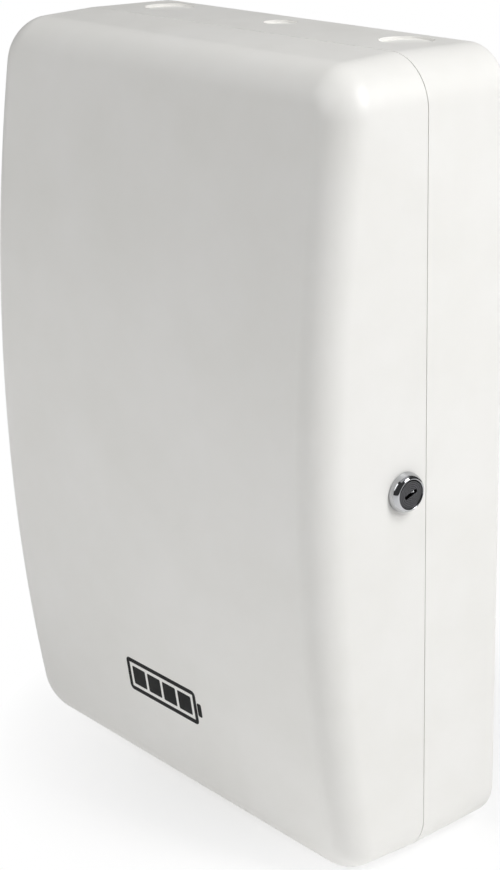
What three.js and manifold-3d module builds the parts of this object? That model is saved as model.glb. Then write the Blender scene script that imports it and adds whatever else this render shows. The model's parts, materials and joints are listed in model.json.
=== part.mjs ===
// Wall battery unit: a lockable moulded case with a lead-acid battery, a power supply and a charger board.
// Millimetres. +Z is up, -Y is the front, and the origin is the centre of the back face, on the wall.
import * as THREE from "three";
import { mergeVertices } from "three/addons/utils/BufferGeometryUtils.js";
import Module from "manifold-3d";

const wasm = await Module();
wasm.setup();

// ---- driving dimensions ----
const GAP = 0.3; // between pieces that touch
const CASE = {
  width: 258,
  height: 380,
  baseDepth: 49,
  coverDepth: 62,
  wall: 3,
  cornerRadius: 22.5,
  baseDraft: 0.024, // how much each wall leans in for each millimetre of depth
  coverDraft: 0.037,
  frontBow: 18.5, // how far the middle of the front stands ahead of its top and bottom ends
  frontFillet: 16,
  seam: 0.5, // open line between the two mouldings
};
const LIP = { root: 5, height: 2.2, outer: 3.35, inner: 5 };
const KNOCKOUT = { depth: 1.5, backset: 19.5, large: 12.5, small: 8, pitch: 85 };
const CABLE_ENTRY = { x: -24, z: 15, width: 40, height: 26, corner: 5 };
const KEYHOLE = { x: 100, z: 174, head: 4.75, neck: 2.6, rise: 8 };
const LOW_SLOT = { x: 108, z: -160, radius: 2.6, length: 10 };
const HINGE = { x: -134, z: 120, barrel: 4.5, hole: 2.3, pin: 2, coverHalf: 11, baseLength: 10 };
const LOCK = {
  ahead: 13, // in front of the seam
  z: 1,
  flange: 9.3,
  rise: 4.9,
  face: 7.2,
  barrel: 6,
  bore: 4.6,
  length: 20,
  keyTilt: 0.35, // of the keyway, up from level
};
const CAM = { thickness: 2, width: 11, reach: 28 };
const BATTERY = { left: -93, right: 88, back: -4, front: -80, floor: -178, top: -15, lid: 14.7 };
const BOARD = { left: 0, right: 118, bottom: 42, top: 168, back: -11.3, thickness: 1.6 };
const PSU = { left: -118, right: -20, bottom: 58, top: 168, back: -3.6, front: -33, sheet: 1.2 };
const POLE = { count: 9, pitch: 9.6, middle: -69 };
const MAINS = { left: -100, right: -64, bottom: 14, top: 34, front: -19, pitch: 11 };
const FUSE = { left: -118, right: -104, bottom: 10, top: 38, floor: -8, rim: -15, front: -25 };
const TAMPER = { x: 104, z: 146, side: 12, top: -25, tip: -46 };
const BUTTON = { x: 100, z: 76, side: 12, top: -17.2, tip: -22 };
const STRAP = { width: 24, z: -100, thickness: 1.5, seat: -9.3, screwLeft: -107, screwRight: 102 };
const STRIKE = { bottom: 14, top: 32, thickness: 1.6, pad: 121, screwY: -29 };

const seamY = -CASE.baseDepth;
const rimY = seamY - CASE.seam;
const frontY = seamY - CASE.coverDepth;
const boardFace = BOARD.back - BOARD.thickness;
const onBoard = boardFace - GAP;

// ---- materials ----
const material = (color, roughness, metalness = 0) =>
  new THREE.MeshStandardMaterial({ color, roughness, metalness });
const MATERIALS = {
  casePlastic: material(0xe9e9e6, 0.42),
  steel: material(0xb9bcbf, 0.32, 1),
  zincSteel: material(0xc4c6c2, 0.4, 1),
  chrome: material(0xd8dadc, 0.08, 1),
  darkChrome: material(0x6f7072, 0.25, 1),
  aluminium: material(0xc8cacc, 0.38, 1),
  boardGreen: material(0x1d5a36, 0.45),
  batteryGrey: material(0x3a3d42, 0.55),
  batteryLid: material(0x2c2e33, 0.5),
  lead: material(0xa8a9aa, 0.45, 1),
  terminalGreen: material(0x3f9a5a, 0.45),
  terminalBlack: material(0x1d1d1f, 0.5),
  nylon: material(0xe6e2d4, 0.5),
  clear: material(0xdfe8ea, 0.15),
  ferrite: material(0x2b2a2c, 0.6),
  relayBlue: material(0x2d5fa3, 0.4),
  fuseAmber: material(0xd98a1c, 0.3),
  capacitorBlack: material(0x222a44, 0.35),
  red: material(0xb3161b, 0.45),
  black: material(0x161617, 0.45),
  brown: material(0x5b3219, 0.45),
  blue: material(0x1f4fa0, 0.45),
  earthGreen: material(0x5d9d2f, 0.45),
};

// ---- solids ----
function toSolid(geometry) {
  const bare = geometry.clone();
  bare.deleteAttribute("normal");
  bare.deleteAttribute("uv");
  const merged = mergeVertices(bare, 1e-4);
  return new wasm.Manifold(
    new wasm.Mesh({
      numProp: 3,
      vertProperties: merged.attributes.position.array,
      triVerts: new Uint32Array(merged.index.array),
    }),
  );
}

function toGeometry(solid) {
  const mesh = solid.getMesh();
  const geometry = new THREE.BufferGeometry();
  geometry.setAttribute("position", new THREE.BufferAttribute(mesh.vertProperties, 3));
  geometry.setIndex(new THREE.BufferAttribute(mesh.triVerts, 1));
  geometry.computeVertexNormals();
  return geometry;
}

const cut = (body, ...tools) =>
  toGeometry(tools.reduce((solid, tool) => solid.subtract(toSolid(tool)), toSolid(body)));
const join = (body, ...others) =>
  toGeometry(others.reduce((solid, other) => solid.add(toSolid(other)), toSolid(body)));

// A box between two corners.
function block([x0, y0, z0], [x1, y1, z1]) {
  const box = new THREE.BoxGeometry(Math.abs(x1 - x0), Math.abs(y1 - y0), Math.abs(z1 - z0));
  return box.translate((x0 + x1) / 2, (y0 + y1) / 2, (z0 + z1) / 2);
}

// A round bar between two points that differ along one axis only.
function bar(radius, from, to, sides = 20) {
  const start = new THREE.Vector3(...from);
  const along = new THREE.Vector3(...to).sub(start);
  const turn = new THREE.Quaternion().setFromUnitVectors(
    new THREE.Vector3(0, 1, 0),
    along.clone().normalize(),
  );
  return new THREE.CylinderGeometry(radius, radius, along.length(), sides)
    .applyQuaternion(turn)
    .translate(...start.addScaledVector(along, 0.5).toArray());
}

const shapeOf = (points) => new THREE.Shape(points.map(([u, v]) => new THREE.Vector2(u, v)));

// A flat outline in plan (x, y), raised from z0 to z1.
const raise = (points, z0, z1) =>
  new THREE.ExtrudeGeometry(shapeOf(points), { depth: z1 - z0, bevelEnabled: false })
    .translate(0, 0, z0);

// A flat shape seen from the right (y, z), carried from x0 to x1.
const slide = (shape, x0, x1) =>
  new THREE.ExtrudeGeometry(shape, { depth: x1 - x0, bevelEnabled: false, curveSegments: 8 })
    .applyMatrix4(new THREE.Matrix4().set(0, 0, 1, x0, 1, 0, 0, 0, 0, 1, 0, 0, 0, 0, 0, 1));

const carry = (points, x0, x1) => slide(shapeOf(points), x0, x1);

// A flat shape seen from the front (x, z), carried back from y0 to y1.
const press = (shape, y0, y1) =>
  new THREE.ExtrudeGeometry(shape, { depth: y1 - y0, bevelEnabled: false, curveSegments: 6 })
    .rotateX(Math.PI / 2)
    .translate(0, y1, 0);

// The outline of a sheet strip bent along a line, with mitred corners.
function bentStrip(line, thickness) {
  const points = line.map(([u, v]) => new THREE.Vector2(u, v));
  const side = (sign) =>
    points.map((point, i) => {
      const before = points[Math.max(i - 1, 0)];
      const after = points[Math.min(i + 1, points.length - 1)];
      const into = (i ? point.clone().sub(before) : after.clone().sub(point)).normalize();
      const out = (i < points.length - 1 ? after.clone().sub(point) : into.clone()).normalize();
      const normal = new THREE.Vector2(-into.y - out.y, into.x + out.x).normalize();
      const stretch = thickness / 2 / normal.dot(new THREE.Vector2(-into.y, into.x));
      return point.clone().addScaledVector(normal, sign * stretch).toArray();
    });
  return [...side(-1), ...side(1).reverse()];
}

// A closed body through rings of as many points each, from the back one to the front one.
function loft(rings) {
  const count = rings[0].length;
  const centre = (ring) =>
    ring.reduce((sum, p) => sum.add(p), new THREE.Vector3()).divideScalar(ring.length);
  const vertices = [...rings.flat(), centre(rings[0]), centre(rings.at(-1))];
  const faces = [];
  rings.slice(1).forEach((_, r) => {
    for (let i = 0; i < count; i++) {
      const next = (i + 1) % count;
      const [a, b] = [r * count + i, r * count + next];
      faces.push(a, b, b + count, a, b + count, a + count);
    }
  });
  const [backCentre, frontCentre] = [rings.length * count, rings.length * count + 1];
  const last = (rings.length - 1) * count;
  for (let i = 0; i < count; i++) {
    const next = (i + 1) % count;
    faces.push(backCentre, next, i, frontCentre, last + i, last + next);
  }
  const geometry = new THREE.BufferGeometry().setFromPoints(vertices);
  return geometry.setIndex(faces);
}

// A tube of a given radius along points.
function tube(radius, points, steps = 22) {
  const path = new THREE.CatmullRomCurve3(points.map((p) => new THREE.Vector3(...p)));
  const section = new THREE.Shape().absarc(0, 0, radius, 0, 2 * Math.PI);
  return new THREE.ExtrudeGeometry(section, { steps, extrudePath: path, curveSegments: 8 });
}

// ---- the assembly ----
const unit = new THREE.Group();

function add(name, geometry, finish, parent = unit) {
  const mesh = new THREE.Mesh(geometry, MATERIALS[finish]);
  mesh.name = name;
  parent.add(mesh);
  return mesh;
}

// The case outline at the seam: points with their outward normals, anticlockwise from the front.
function seamOutline(cornerSteps = 6, sideSteps = 10, endSteps = 3) {
  const { width, height, cornerRadius: radius } = CASE;
  const [reachX, reachZ] = [width / 2 - radius, height / 2 - radius];
  const outline = [];
  for (let corner = 0; corner < 4; corner++) {
    const sx = corner < 2 ? 1 : -1;
    const sz = corner === 1 || corner === 2 ? 1 : -1;
    for (let i = 0; i <= cornerSteps; i++) {
      const angle = ((corner - 1 + i / cornerSteps) * Math.PI) / 2;
      const [nx, nz] = [Math.cos(angle), Math.sin(angle)];
      outline.push({ x: sx * reachX + radius * nx, z: sz * reachZ + radius * nz, nx, nz });
    }
    const steps = corner % 2 ? endSteps : sideSteps; // the long sides follow a bottom corner
    const { x, z, nx, nz } = outline.at(-1);
    for (let i = 1; i < steps; i++) {
      const share = (2 * i) / steps;
      outline.push({ x: x - share * reachX * nz, z: z + share * reachZ * nx, nx, nz });
    }
  }
  return outline;
}

const OUTLINE = seamOutline();
const ring = (inset, y) =>
  OUTLINE.map(({ x, z, nx, nz }) => new THREE.Vector3(x - nx * inset, y, z - nz * inset));
const baseInset = (y) => CASE.baseDraft * (y - seamY);

// The front surface: an arc from the top to the bottom, straight from side to side.
function bowedY(z) {
  const half = CASE.height / 2;
  const radius = (half ** 2 + CASE.frontBow ** 2) / (2 * CASE.frontBow);
  return frontY + radius - Math.sqrt(radius ** 2 - z ** 2);
}

// ---- back box ----
function backBox() {
  const { wall } = CASE;
  const chamfer = 1.5;
  const outside = loft([
    ring(baseInset(0) + chamfer, 0),
    ring(baseInset(-chamfer), -chamfer),
    ring(0, seamY),
  ]);
  const inside = loft([ring(wall + baseInset(-wall), -wall), ring(wall, seamY - 1)]);
  const lip = cut(
    loft([
      ring(wall - 0.5, seamY + LIP.root),
      ring(wall - 0.5, seamY),
      ring(LIP.outer, seamY),
      ring(LIP.outer + 0.1, seamY - LIP.height),
    ]),
    loft([ring(LIP.inner, seamY + LIP.root + 1), ring(LIP.inner, seamY - LIP.height - 1)]),
  );
  const shelf = block([BATTERY.left, -1, BATTERY.floor - 4], [BATTERY.right, -42, BATTERY.floor - GAP]);
  const cheeks = [BATTERY.left - 4, BATTERY.right + 1].map((x) =>
    block([x, -1, BATTERY.floor], [x + 3, -26, BATTERY.floor + 34]),
  );
  const strapPosts = [STRAP.screwLeft, STRAP.screwRight].map((x) =>
    bar(5, [x, -1, STRAP.z], [x, STRAP.seat + GAP, STRAP.z]),
  );
  const strikePad = block([STRIKE.pad, -42, STRIKE.bottom - 2], [127, -18, STRIKE.top + 2]);
  const barrels = hingeBarrels("base");
  const body = join(cut(outside, inside), lip, shelf, ...cheeks, ...strapPosts, strikePad, ...barrels);
  return cut(body, ...knockouts(), ...wallOpenings(), ...baseScrewHoles());
}

// Shallow round recesses in the top and the bottom wall, where an installer breaks a cable hole through.
function knockouts() {
  const y = -KNOCKOUT.backset;
  const surface = CASE.height / 2 - baseInset(y);
  return [-KNOCKOUT.pitch, 0, KNOCKOUT.pitch].flatMap((x) =>
    [1, -1].map((side) =>
      bar(
        x ? KNOCKOUT.large : KNOCKOUT.small,
        [x, y, side * (surface - KNOCKOUT.depth)],
        [x, y, side * (surface + 4)],
        28,
      ),
    ),
  );
}

// Keyholes at the top, slots at the bottom and the cable entry in the middle, all through the back.
function wallOpenings() {
  const keyholes = [-KEYHOLE.x, KEYHOLE.x].flatMap((x) => [
    bar(KEYHOLE.head, [x, 1, KEYHOLE.z], [x, -4, KEYHOLE.z]),
    bar(KEYHOLE.neck, [x, 1, KEYHOLE.z + KEYHOLE.rise], [x, -4, KEYHOLE.z + KEYHOLE.rise]),
    block([x - KEYHOLE.neck, 1, KEYHOLE.z], [x + KEYHOLE.neck, -4, KEYHOLE.z + KEYHOLE.rise]),
  ]);
  const reach = LOW_SLOT.length / 2 - LOW_SLOT.radius;
  const slots = [-LOW_SLOT.x, LOW_SLOT.x].map((x) => {
    const slot = new THREE.Shape();
    slot.absarc(x, LOW_SLOT.z + reach, LOW_SLOT.radius, 0, Math.PI);
    slot.absarc(x, LOW_SLOT.z - reach, LOW_SLOT.radius, Math.PI, 2 * Math.PI);
    return press(slot, -4, 1);
  });
  return [...keyholes, ...slots, press(roundedSlab(CABLE_ENTRY), -4, 1)];
}

function roundedSlab({ x, z, width, height, corner }) {
  const [left, right, low, high] = [x - width / 2, x + width / 2, z - height / 2, z + height / 2];
  const slab = new THREE.Shape();
  slab.absarc(right - corner, low + corner, corner, -Math.PI / 2, 0);
  slab.absarc(right - corner, high - corner, corner, 0, Math.PI / 2);
  slab.absarc(left + corner, high - corner, corner, Math.PI / 2, Math.PI);
  slab.absarc(left + corner, low + corner, corner, Math.PI, 1.5 * Math.PI);
  return slab;
}

function baseScrewHoles() {
  const strapHoles = [STRAP.screwLeft, STRAP.screwRight].map((x) =>
    bar(2.3, [x, -4, STRAP.z], [x, STRAP.seat, STRAP.z], 12),
  );
  const strikeHoles = strikeScrewHeights().map((z) =>
    bar(1.9, [STRIKE.pad - 1, STRIKE.screwY, z], [125.5, STRIKE.screwY, z], 12),
  );
  return [...strapHoles, ...strikeHoles];
}

// ---- hinges: a cover barrel between two base barrels, on a headed steel pin ----
function hingeBarrels(side) {
  const { x, barrel, hole, coverHalf, baseLength } = HINGE;
  const spans =
    side === "cover"
      ? [[-coverHalf, coverHalf]]
      : [
          [coverHalf + GAP, coverHalf + baseLength],
          [-coverHalf - baseLength, -coverHalf - GAP],
        ];
  const web = side === "cover" ? [rimY, seamY - barrel] : [seamY + barrel, seamY + GAP];
  return [-HINGE.z, HINGE.z].flatMap((middle) =>
    spans.map(([low, high]) =>
      cut(
        join(
          bar(barrel, [x, seamY, middle + low], [x, seamY, middle + high]),
          block([x, web[0], middle + low], [-127.4, web[1], middle + high]),
        ),
        bar(hole, [x, seamY, middle + low - 1], [x, seamY, middle + high + 1]),
      ),
    ),
  );
}

function hingePin(middle) {
  const reach = HINGE.coverHalf + HINGE.baseLength;
  const top = middle + reach + GAP;
  return join(
    bar(HINGE.pin, [HINGE.x, seamY, middle - reach - 1], [HINGE.x, seamY, top + 0.5], 16),
    bar(3.4, [HINGE.x, seamY, top], [HINGE.x, seamY, top + 1.8], 16),
  );
}

// ---- front cover ----
// One skin of the cover: rings up the drafted wall, round the fillet and in across the bowed front.
function coverSkin(offset, backY) {
  const fillet = CASE.frontFillet - offset;
  const shoulder = OUTLINE.map(({ z }) => bowedY(z) + offset + fillet);
  const wallInset = shoulder.map((y) => offset + CASE.coverDraft * (seamY - y));
  const place = ({ x, z, nx, nz }, i, angle) => {
    const inset = wallInset[i] + fillet * (1 - Math.cos(angle));
    const [px, pz] = [x - nx * inset, z - nz * inset];
    const shoulderShare = 1 - Math.sin(angle);
    return new THREE.Vector3(px, bowedY(pz) + offset + fillet * shoulderShare, pz);
  };
  const rounds = [0, 1, 2, 3, 4].map((step) =>
    OUTLINE.map((point, i) => place(point, i, (step * Math.PI) / 8)),
  );
  const edge = rounds.at(-1);
  const across = [0.72, 0.42, 0.15].map((share) =>
    edge.map(({ x, z }) => new THREE.Vector3(x * share, bowedY(z * share) + offset, z * share)),
  );
  return loft([ring(offset, backY), ...rounds, ...across]);
}

function frontCover() {
  const shell = cut(coverSkin(0, rimY), coverSkin(CASE.wall, rimY + 1));
  const postRoot = bowedY(TAMPER.z) + CASE.wall - 1.5;
  const tamperPost = bar(4, [TAMPER.x, postRoot, TAMPER.z], [TAMPER.x, TAMPER.tip - 0.6, TAMPER.z]);
  const lockHole = bar(LOCK.barrel + GAP, [lockX - 8, lockY, LOCK.z], [lockX + 4, lockY, LOCK.z], 24);
  return cut(join(shell, tamperPost, ...hingeBarrels("cover")), lockHole);
}

// ---- lock: its group's X axis points out of the cover's right wall ----
const lockY = seamY - LOCK.ahead;
const lockX = CASE.width / 2 - CASE.coverDraft * LOCK.ahead;
const lock = new THREE.Group();
lock.position.set(lockX, lockY, LOCK.z);
lock.rotation.z = -Math.atan(CASE.coverDraft);
unit.add(lock);

// Turns a profile of [radius, distance out] round the lock's axis.
const turned = (profile, sides = 32) =>
  new THREE.LatheGeometry(profile.map(([r, out]) => new THREE.Vector2(r, out)), sides)
    .rotateZ(-Math.PI / 2);

function lockHousing() {
  const { flange, rise, face, barrel, bore, length } = LOCK;
  return turned([
    [bore, -length],
    [barrel, -length],
    [barrel, GAP],
    [flange, GAP],
    [flange, 1.1],
    [flange - 0.4, 2.3],
    [face + 1.2, 3.8],
    [face + 0.5, 4.5],
    [face, rise],
    [face - 0.6, rise],
    [face - 0.8, 3],
    [bore, 3],
    [bore, -length],
  ]);
}

function lockPlug() {
  const { face, bore, length } = LOCK;
  const body = turned([
    [0, -length - GAP],
    [bore - GAP, -length - GAP],
    [bore - GAP, 3 + GAP],
    [face - 1.1, 3 + GAP],
    [face - 1.1, 4.3],
    [0, 4.3],
  ]);
  const keyway = block([-6, -0.9, -3.6], [5, 0.9, 3.6]).rotateX(LOCK.keyTilt - Math.PI / 2);
  const screwHole = bar(1.9, [-length - 1, 0, 0], [-length + 9, 0, 0], 12);
  return cut(body, keyway, screwHole);
}

function lockNut() {
  const across = 16;
  const nut = new THREE.CylinderGeometry(across / Math.sqrt(3), across / Math.sqrt(3), 3, 6);
  nut.rotateZ(-Math.PI / 2).translate(-CASE.wall - GAP - 1.5, 0, 0);
  return cut(nut, bar(LOCK.barrel + GAP, [-9, 0, 0], [0, 0, 0], 24));
}

// A flat arm with round ends that lies back into the case when the cover is unlocked.
function lockCam() {
  const half = CAM.width / 2;
  const back = -LOCK.length - 2 * GAP;
  const arm = new THREE.Shape();
  arm.absarc(0, 0, half, Math.PI / 2, 1.5 * Math.PI);
  arm.absarc(CAM.reach - half, 0, half, -Math.PI / 2, Math.PI / 2);
  const plate = slide(arm, back - CAM.thickness, back);
  return cut(plate, bar(1.9, [back - 4, 0, 0], [back + 1, 0, 0], 12));
}

function lockCamScrew() {
  const seat = -LOCK.length - 3 * GAP - CAM.thickness;
  return join(
    bar(3.8, [seat - 2.4, 0, 0], [seat, 0, 0]),
    bar(1.6, [seat - 1, 0, 0], [-LOCK.length + 6, 0, 0], 12),
  );
}

// ---- strike: a bent steel plate that the locked cam turns behind ----
const strikeScrewHeights = () => [STRIKE.bottom + 4, STRIKE.top - 4];

function lockStrike() {
  const foot = STRIKE.pad - GAP - STRIKE.thickness / 2;
  const [web, arm, hook] = [-43.8, 111.4, -69.2];
  const line = [
    [foot, -20],
    [foot, web],
    [arm, web],
    [arm, hook],
    [103.4, hook],
  ];
  const plate = raise(bentStrip(line, STRIKE.thickness), STRIKE.bottom, STRIKE.top);
  const holes = strikeScrewHeights().map((z) =>
    bar(1.9, [foot - 3, STRIKE.screwY, z], [foot + 3, STRIKE.screwY, z], 12),
  );
  return cut(plate, ...holes);
}

function strikeScrew(z) {
  const seat = STRIKE.pad - 2 * GAP - STRIKE.thickness;
  return join(
    bar(3, [seat - 2.1, STRIKE.screwY, z], [seat, STRIKE.screwY, z], 16),
    bar(1.5, [seat - 1, STRIKE.screwY, z], [124.8, STRIKE.screwY, z], 12),
  );
}

// ---- battery ----
function batteryCase() {
  const { left, right, back, front, floor, top, lid } = BATTERY;
  return block([left, front, floor], [right, back, top - lid]);
}

function batteryLid() {
  const { left, right, back, front, top, lid } = BATTERY;
  const low = top - lid + GAP;
  const skirt = block([left, front, low], [right, back, top - 4]);
  const crown = block([left + 3, front + 3, low], [right - 3, back - 3, top]);
  const vent = block([-46, -52, top - 1.2], [41, -30, top + 1]);
  return cut(join(skirt, crown), vent);
}

const TAB = { width: 6.3, thickness: 0.8, height: 7.5, y: -62 };
const tabX = { positive: 66, negative: -71 };

function batteryTerminal(x) {
  const top = BATTERY.top + GAP;
  const [across, through] = [TAB.width / 2, TAB.thickness / 2];
  return join(
    block([x - 5, TAB.y - 5, top], [x + 5, TAB.y + 5, top + 1]),
    block([x - across, TAB.y - through, top], [x + across, TAB.y + through, top + 1 + TAB.height]),
  );
}

// A lead with the insulated boot of its push-on connector over the battery tab.
function batteryLead(x, route) {
  const low = BATTERY.top + GAP + 1.6;
  const boot = cut(
    block([x - 4.6, TAB.y - 2.6, low], [x + 4.6, TAB.y + 2.6, low + 13]),
    block([x - 3.6, TAB.y - 0.9, low - 1], [x + 3.6, TAB.y + 0.9, low + 8.4]),
  );
  return join(boot, tube(1.7, [[x, TAB.y, low + 12], ...route], 30));
}

function batteryStrap() {
  const { thickness, seat, z, width, screwLeft, screwRight } = STRAP;
  const y = seat - thickness / 2;
  const [left, right] = [BATTERY.left - 2.6, BATTERY.right + 2.6];
  const over = BATTERY.front - 1.2;
  const line = [
    [screwLeft - 10, y],
    [left, y],
    [left, over],
    [right, over],
    [right, y],
    [screwRight + 10, y],
  ];
  const strap = raise(bentStrip(line, thickness), z - width / 2, z + width / 2);
  const holes = [screwLeft, screwRight].map((x) => bar(2.4, [x, seat + 2, z], [x, seat - 4, z], 12));
  return cut(strap, ...holes);
}

function strapScrew(x) {
  const seat = STRAP.seat - STRAP.thickness - GAP;
  return join(
    bar(4.6, [x, seat - 2.6, STRAP.z], [x, seat, STRAP.z], 18),
    bar(2, [x, seat - 1, STRAP.z], [x, -4.6, STRAP.z], 12),
  );
}

// ---- power supply module ----
const poleX = (index) => POLE.middle + (index - (POLE.count - 1) / 2) * POLE.pitch;

function psuChassis() {
  const { left, right, back, front, bottom, top, sheet } = PSU;
  const half = sheet / 2;
  const line = [
    [left + half, front],
    [left + half, back - half],
    [right - half, back - half],
    [right - half, front],
  ];
  return raise(bentStrip(line, sheet), bottom, top);
}

function psuCover() {
  const { left, right, back, front, bottom, top, sheet } = PSU;
  const half = sheet / 2;
  const face = front - GAP - half;
  const line = [
    [-10.5, bottom + 14],
    [face, bottom + 14],
    [face, top + GAP + half],
    [back - sheet - GAP, top + GAP + half],
  ];
  const inner = sheet + GAP;
  const hood = carry(bentStrip(line, sheet), left + inner, right - inner);
  const slots = [-5, -4, -3, -2, -1, 0, 1, 2, 3, 4, 5]
    .map((n) => POLE.middle + n * 7)
    .map((x) => block([x - 1.6, front - 4, bottom + 34], [x + 1.6, front + 1, top - 18]));
  return cut(hood, ...slots);
}

function psuBoard() {
  const { left, right, bottom, top } = PSU;
  return block([left + 4, -9.6, bottom + 1], [right - 4, -8, top - 3]);
}

function psuTransformer() {
  const core = block([-87, -27, 100], [-53, -10, 132]);
  const winding = block([-82, -30, 104], [-58, -10, 128]);
  return join(core, winding);
}

function psuTerminalStrip() {
  const { bottom } = PSU;
  const reach = (POLE.count * POLE.pitch) / 2 + 1;
  const [left, right] = [POLE.middle - reach, POLE.middle + reach];
  const body = block([left, -21.5, bottom + 1.5], [right, -9.9, bottom + 12.6]);
  const bays = Array.from({ length: POLE.count }, (_, i) =>
    block([poleX(i) - 4.1, -22.5, bottom], [poleX(i) + 4.1, -14.5, bottom + 10.6]),
  );
  return cut(body, ...bays);
}

const GUARD = { y: -23.2, z: PSU.bottom + 11.6, radius: 1.2 };

function psuTerminalGuard() {
  const { y, z, radius } = GUARD;
  const [left, right] = [PSU.left + PSU.sheet + 0.5, PSU.right - PSU.sheet - 0.5];
  const flap = block([left, y - 0.6, PSU.bottom - 0.5], [right, y + 0.6, z]);
  return join(flap, bar(radius, [left, y, z], [right, y, z], 12));
}

// ---- mains terminals and fuse ----
const mainsX = (index) => (MAINS.left + MAINS.right) / 2 + (index - 1) * MAINS.pitch;

function mainsTerminalBlock() {
  const { left, right, bottom, top, front } = MAINS;
  const body = carry(
    [
      [-3.4, bottom],
      [-3.4, top],
      [front + 5, top],
      [front, top - 4],
      [front, bottom + 4],
      [front + 5, bottom],
    ],
    left,
    right,
  );
  const wells = [0, 1, 2].map((i) =>
    bar(2.8, [mainsX(i), front - 1, (bottom + top) / 2], [mainsX(i), front + 6, (bottom + top) / 2], 14),
  );
  const entries = [0, 1, 2].flatMap((i) => [
    bar(2.2, [mainsX(i), -10, top - 6], [mainsX(i), -10, top + 1], 12),
    bar(2.2, [mainsX(i), -10, bottom - 1], [mainsX(i), -10, bottom + 6], 12),
  ]);
  return cut(body, ...wells, ...entries);
}

function mainsFuseBase() {
  const { left, right, bottom, top, floor, rim } = FUSE;
  const body = block([left, rim, bottom], [right, -3.4, top]);
  const pocket = block([left + 1.6, rim - 1, bottom + 1.6], [right - 1.6, floor, top - 1.6]);
  return cut(body, pocket);
}

function mainsFuseCarrier() {
  const { left, right, bottom, top, floor, rim, front } = FUSE;
  const inner = 1.6 + GAP;
  const plug = block([left + inner, rim - 2, bottom + inner], [right - inner, floor - GAP, top - inner]);
  const head = block([left + 1, rim - 5, bottom + 1], [right - 1, rim - GAP, top - 1]);
  const grip = block([left + 4, front, bottom + 7], [right - 4, rim - 4, top - 7]);
  return join(plug, head, grip);
}

// ---- charger board ----
const BOARD_HOLES = [
  [6, 162],
  [112, 162],
  [6, 64],
  [112, 64],
];

function chargerBoard() {
  const { left, right, bottom, top, back } = BOARD;
  const plate = block([left, boardFace, bottom], [right, back, top]);
  return cut(plate, ...BOARD_HOLES.map(([x, z]) => bar(1.9, [x, -9, z], [x, -15, z], 12)));
}

function boardPillar([x, z]) {
  const post = bar(3.6, [x, -CASE.wall - GAP, z], [x, BOARD.back + GAP, z], 12);
  return cut(post, bar(1.9, [x, -5, z], [x, -13, z], 12));
}

function boardScrew([x, z]) {
  return join(
    bar(3, [x, onBoard - 2.1, z], [x, onBoard, z], 16),
    bar(1.5, [x, onBoard - 1, z], [x, -5.6, z], 12),
  );
}

function heatSink() {
  const [left, right, bottom, top, height] = [14, 62, 140, 160, 26];
  const body = block([left, onBoard - height, bottom], [right, onBoard, top]);
  const slots = [0, 1, 2, 3, 4, 5]
    .map((i) => left + 3 + i * 7.6)
    .map((x) => block([x, onBoard - height - 1, bottom - 1], [x + 4.4, onBoard - 4, top + 1]));
  return cut(body, ...slots);
}

const capacitor = (x, z, radius, height) => bar(radius, [x, onBoard - height, z], [x, onBoard, z], 24);

function inductor() {
  return new THREE.TorusGeometry(9, 4.4, 10, 24).rotateX(Math.PI / 2).translate(40, onBoard - 4.4, 118);
}

const relay = () => block([84, onBoard - 16, 98], [113, onBoard, 111]);

function fuseHolder() {
  const body = block([10, onBoard - 8, 88], [34, onBoard, 96]);
  return cut(body, block([12, onBoard - 9, 90], [32, onBoard - 2.5, 94]));
}

function bladeFuse() {
  const legs = block([14, onBoard - 9, 91], [30, onBoard - 3, 93]);
  return join(legs, block([12.5, onBoard - 17, 90], [31.5, onBoard - 8.3, 94]));
}

// A row of screw terminals along the board's lower edge, with wire holes facing down.
function terminalBlock(left, poles, pitch) {
  const [bottom, top, front] = [BOARD.bottom + 1.5, BOARD.bottom + 11.5, onBoard - 10];
  const right = left + poles * pitch;
  const body = carry(
    [
      [onBoard, bottom],
      [onBoard, top],
      [front + 3, top],
      [front, top - 3],
      [front, bottom + 2],
      [front + 2, bottom],
    ],
    left,
    right,
  );
  const holes = Array.from({ length: poles }, (_, i) => left + (i + 0.5) * pitch).flatMap((x) => [
    bar(1.7, [x, front - 1, bottom + 5], [x, front + 3, bottom + 5], 10),
    block([x - 1.6, onBoard - 6.4, bottom - 1], [x + 1.6, onBoard - 3, bottom + 4]),
  ]);
  return cut(body, ...holes);
}

function batteryPlug() {
  const [bottom, top] = [BOARD.bottom + 1.5, BOARD.bottom + 13];
  const body = block([54, onBoard - 9, bottom], [73, onBoard, top]);
  const latch = block([60, onBoard - 11, bottom + 4], [67, onBoard - 8, top]);
  return join(body, latch);
}

// ---- tamper switch and test button ----
function tamperBody() {
  const { x, z, side, top } = TAMPER;
  const half = side / 2;
  return cut(
    block([x - half, top, z - half], [x + half, onBoard, z + half]),
    bar(2.9, [x, top - 1, z], [x, onBoard - 1.5, z], 20),
  );
}

function tamperPlunger() {
  const { x, z, tip } = TAMPER;
  return join(
    bar(2.5, [x, tip + 1, z], [x, onBoard - 5.2, z], 20),
    bar(4, [x, tip, z], [x, tip + 2, z], 20),
  );
}

// The outer shape of the plunger's coil spring.
function tamperSpring() {
  const { x, z, top, tip } = TAMPER;
  const coil = bar(3.6, [x, tip + 2 + GAP, z], [x, top - GAP, z], 16);
  return cut(coil, bar(2.5 + GAP, [x, tip, z], [x, top + 2, z], 16));
}

function buttonBody() {
  const { x, z, side, top } = BUTTON;
  const half = side / 2;
  return cut(
    block([x - half, top, z - half], [x + half, onBoard, z + half]),
    bar(3.4, [x, top - 1, z], [x, onBoard - 1.2, z], 20),
  );
}

function buttonCap() {
  const { x, z, top, tip } = BUTTON;
  return join(
    bar(3, [x, tip + 1, z], [x, onBoard - 2.2, z], 20),
    bar(4.5, [x, tip, z], [x, top - 1.6, z], 20),
  );
}

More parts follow.
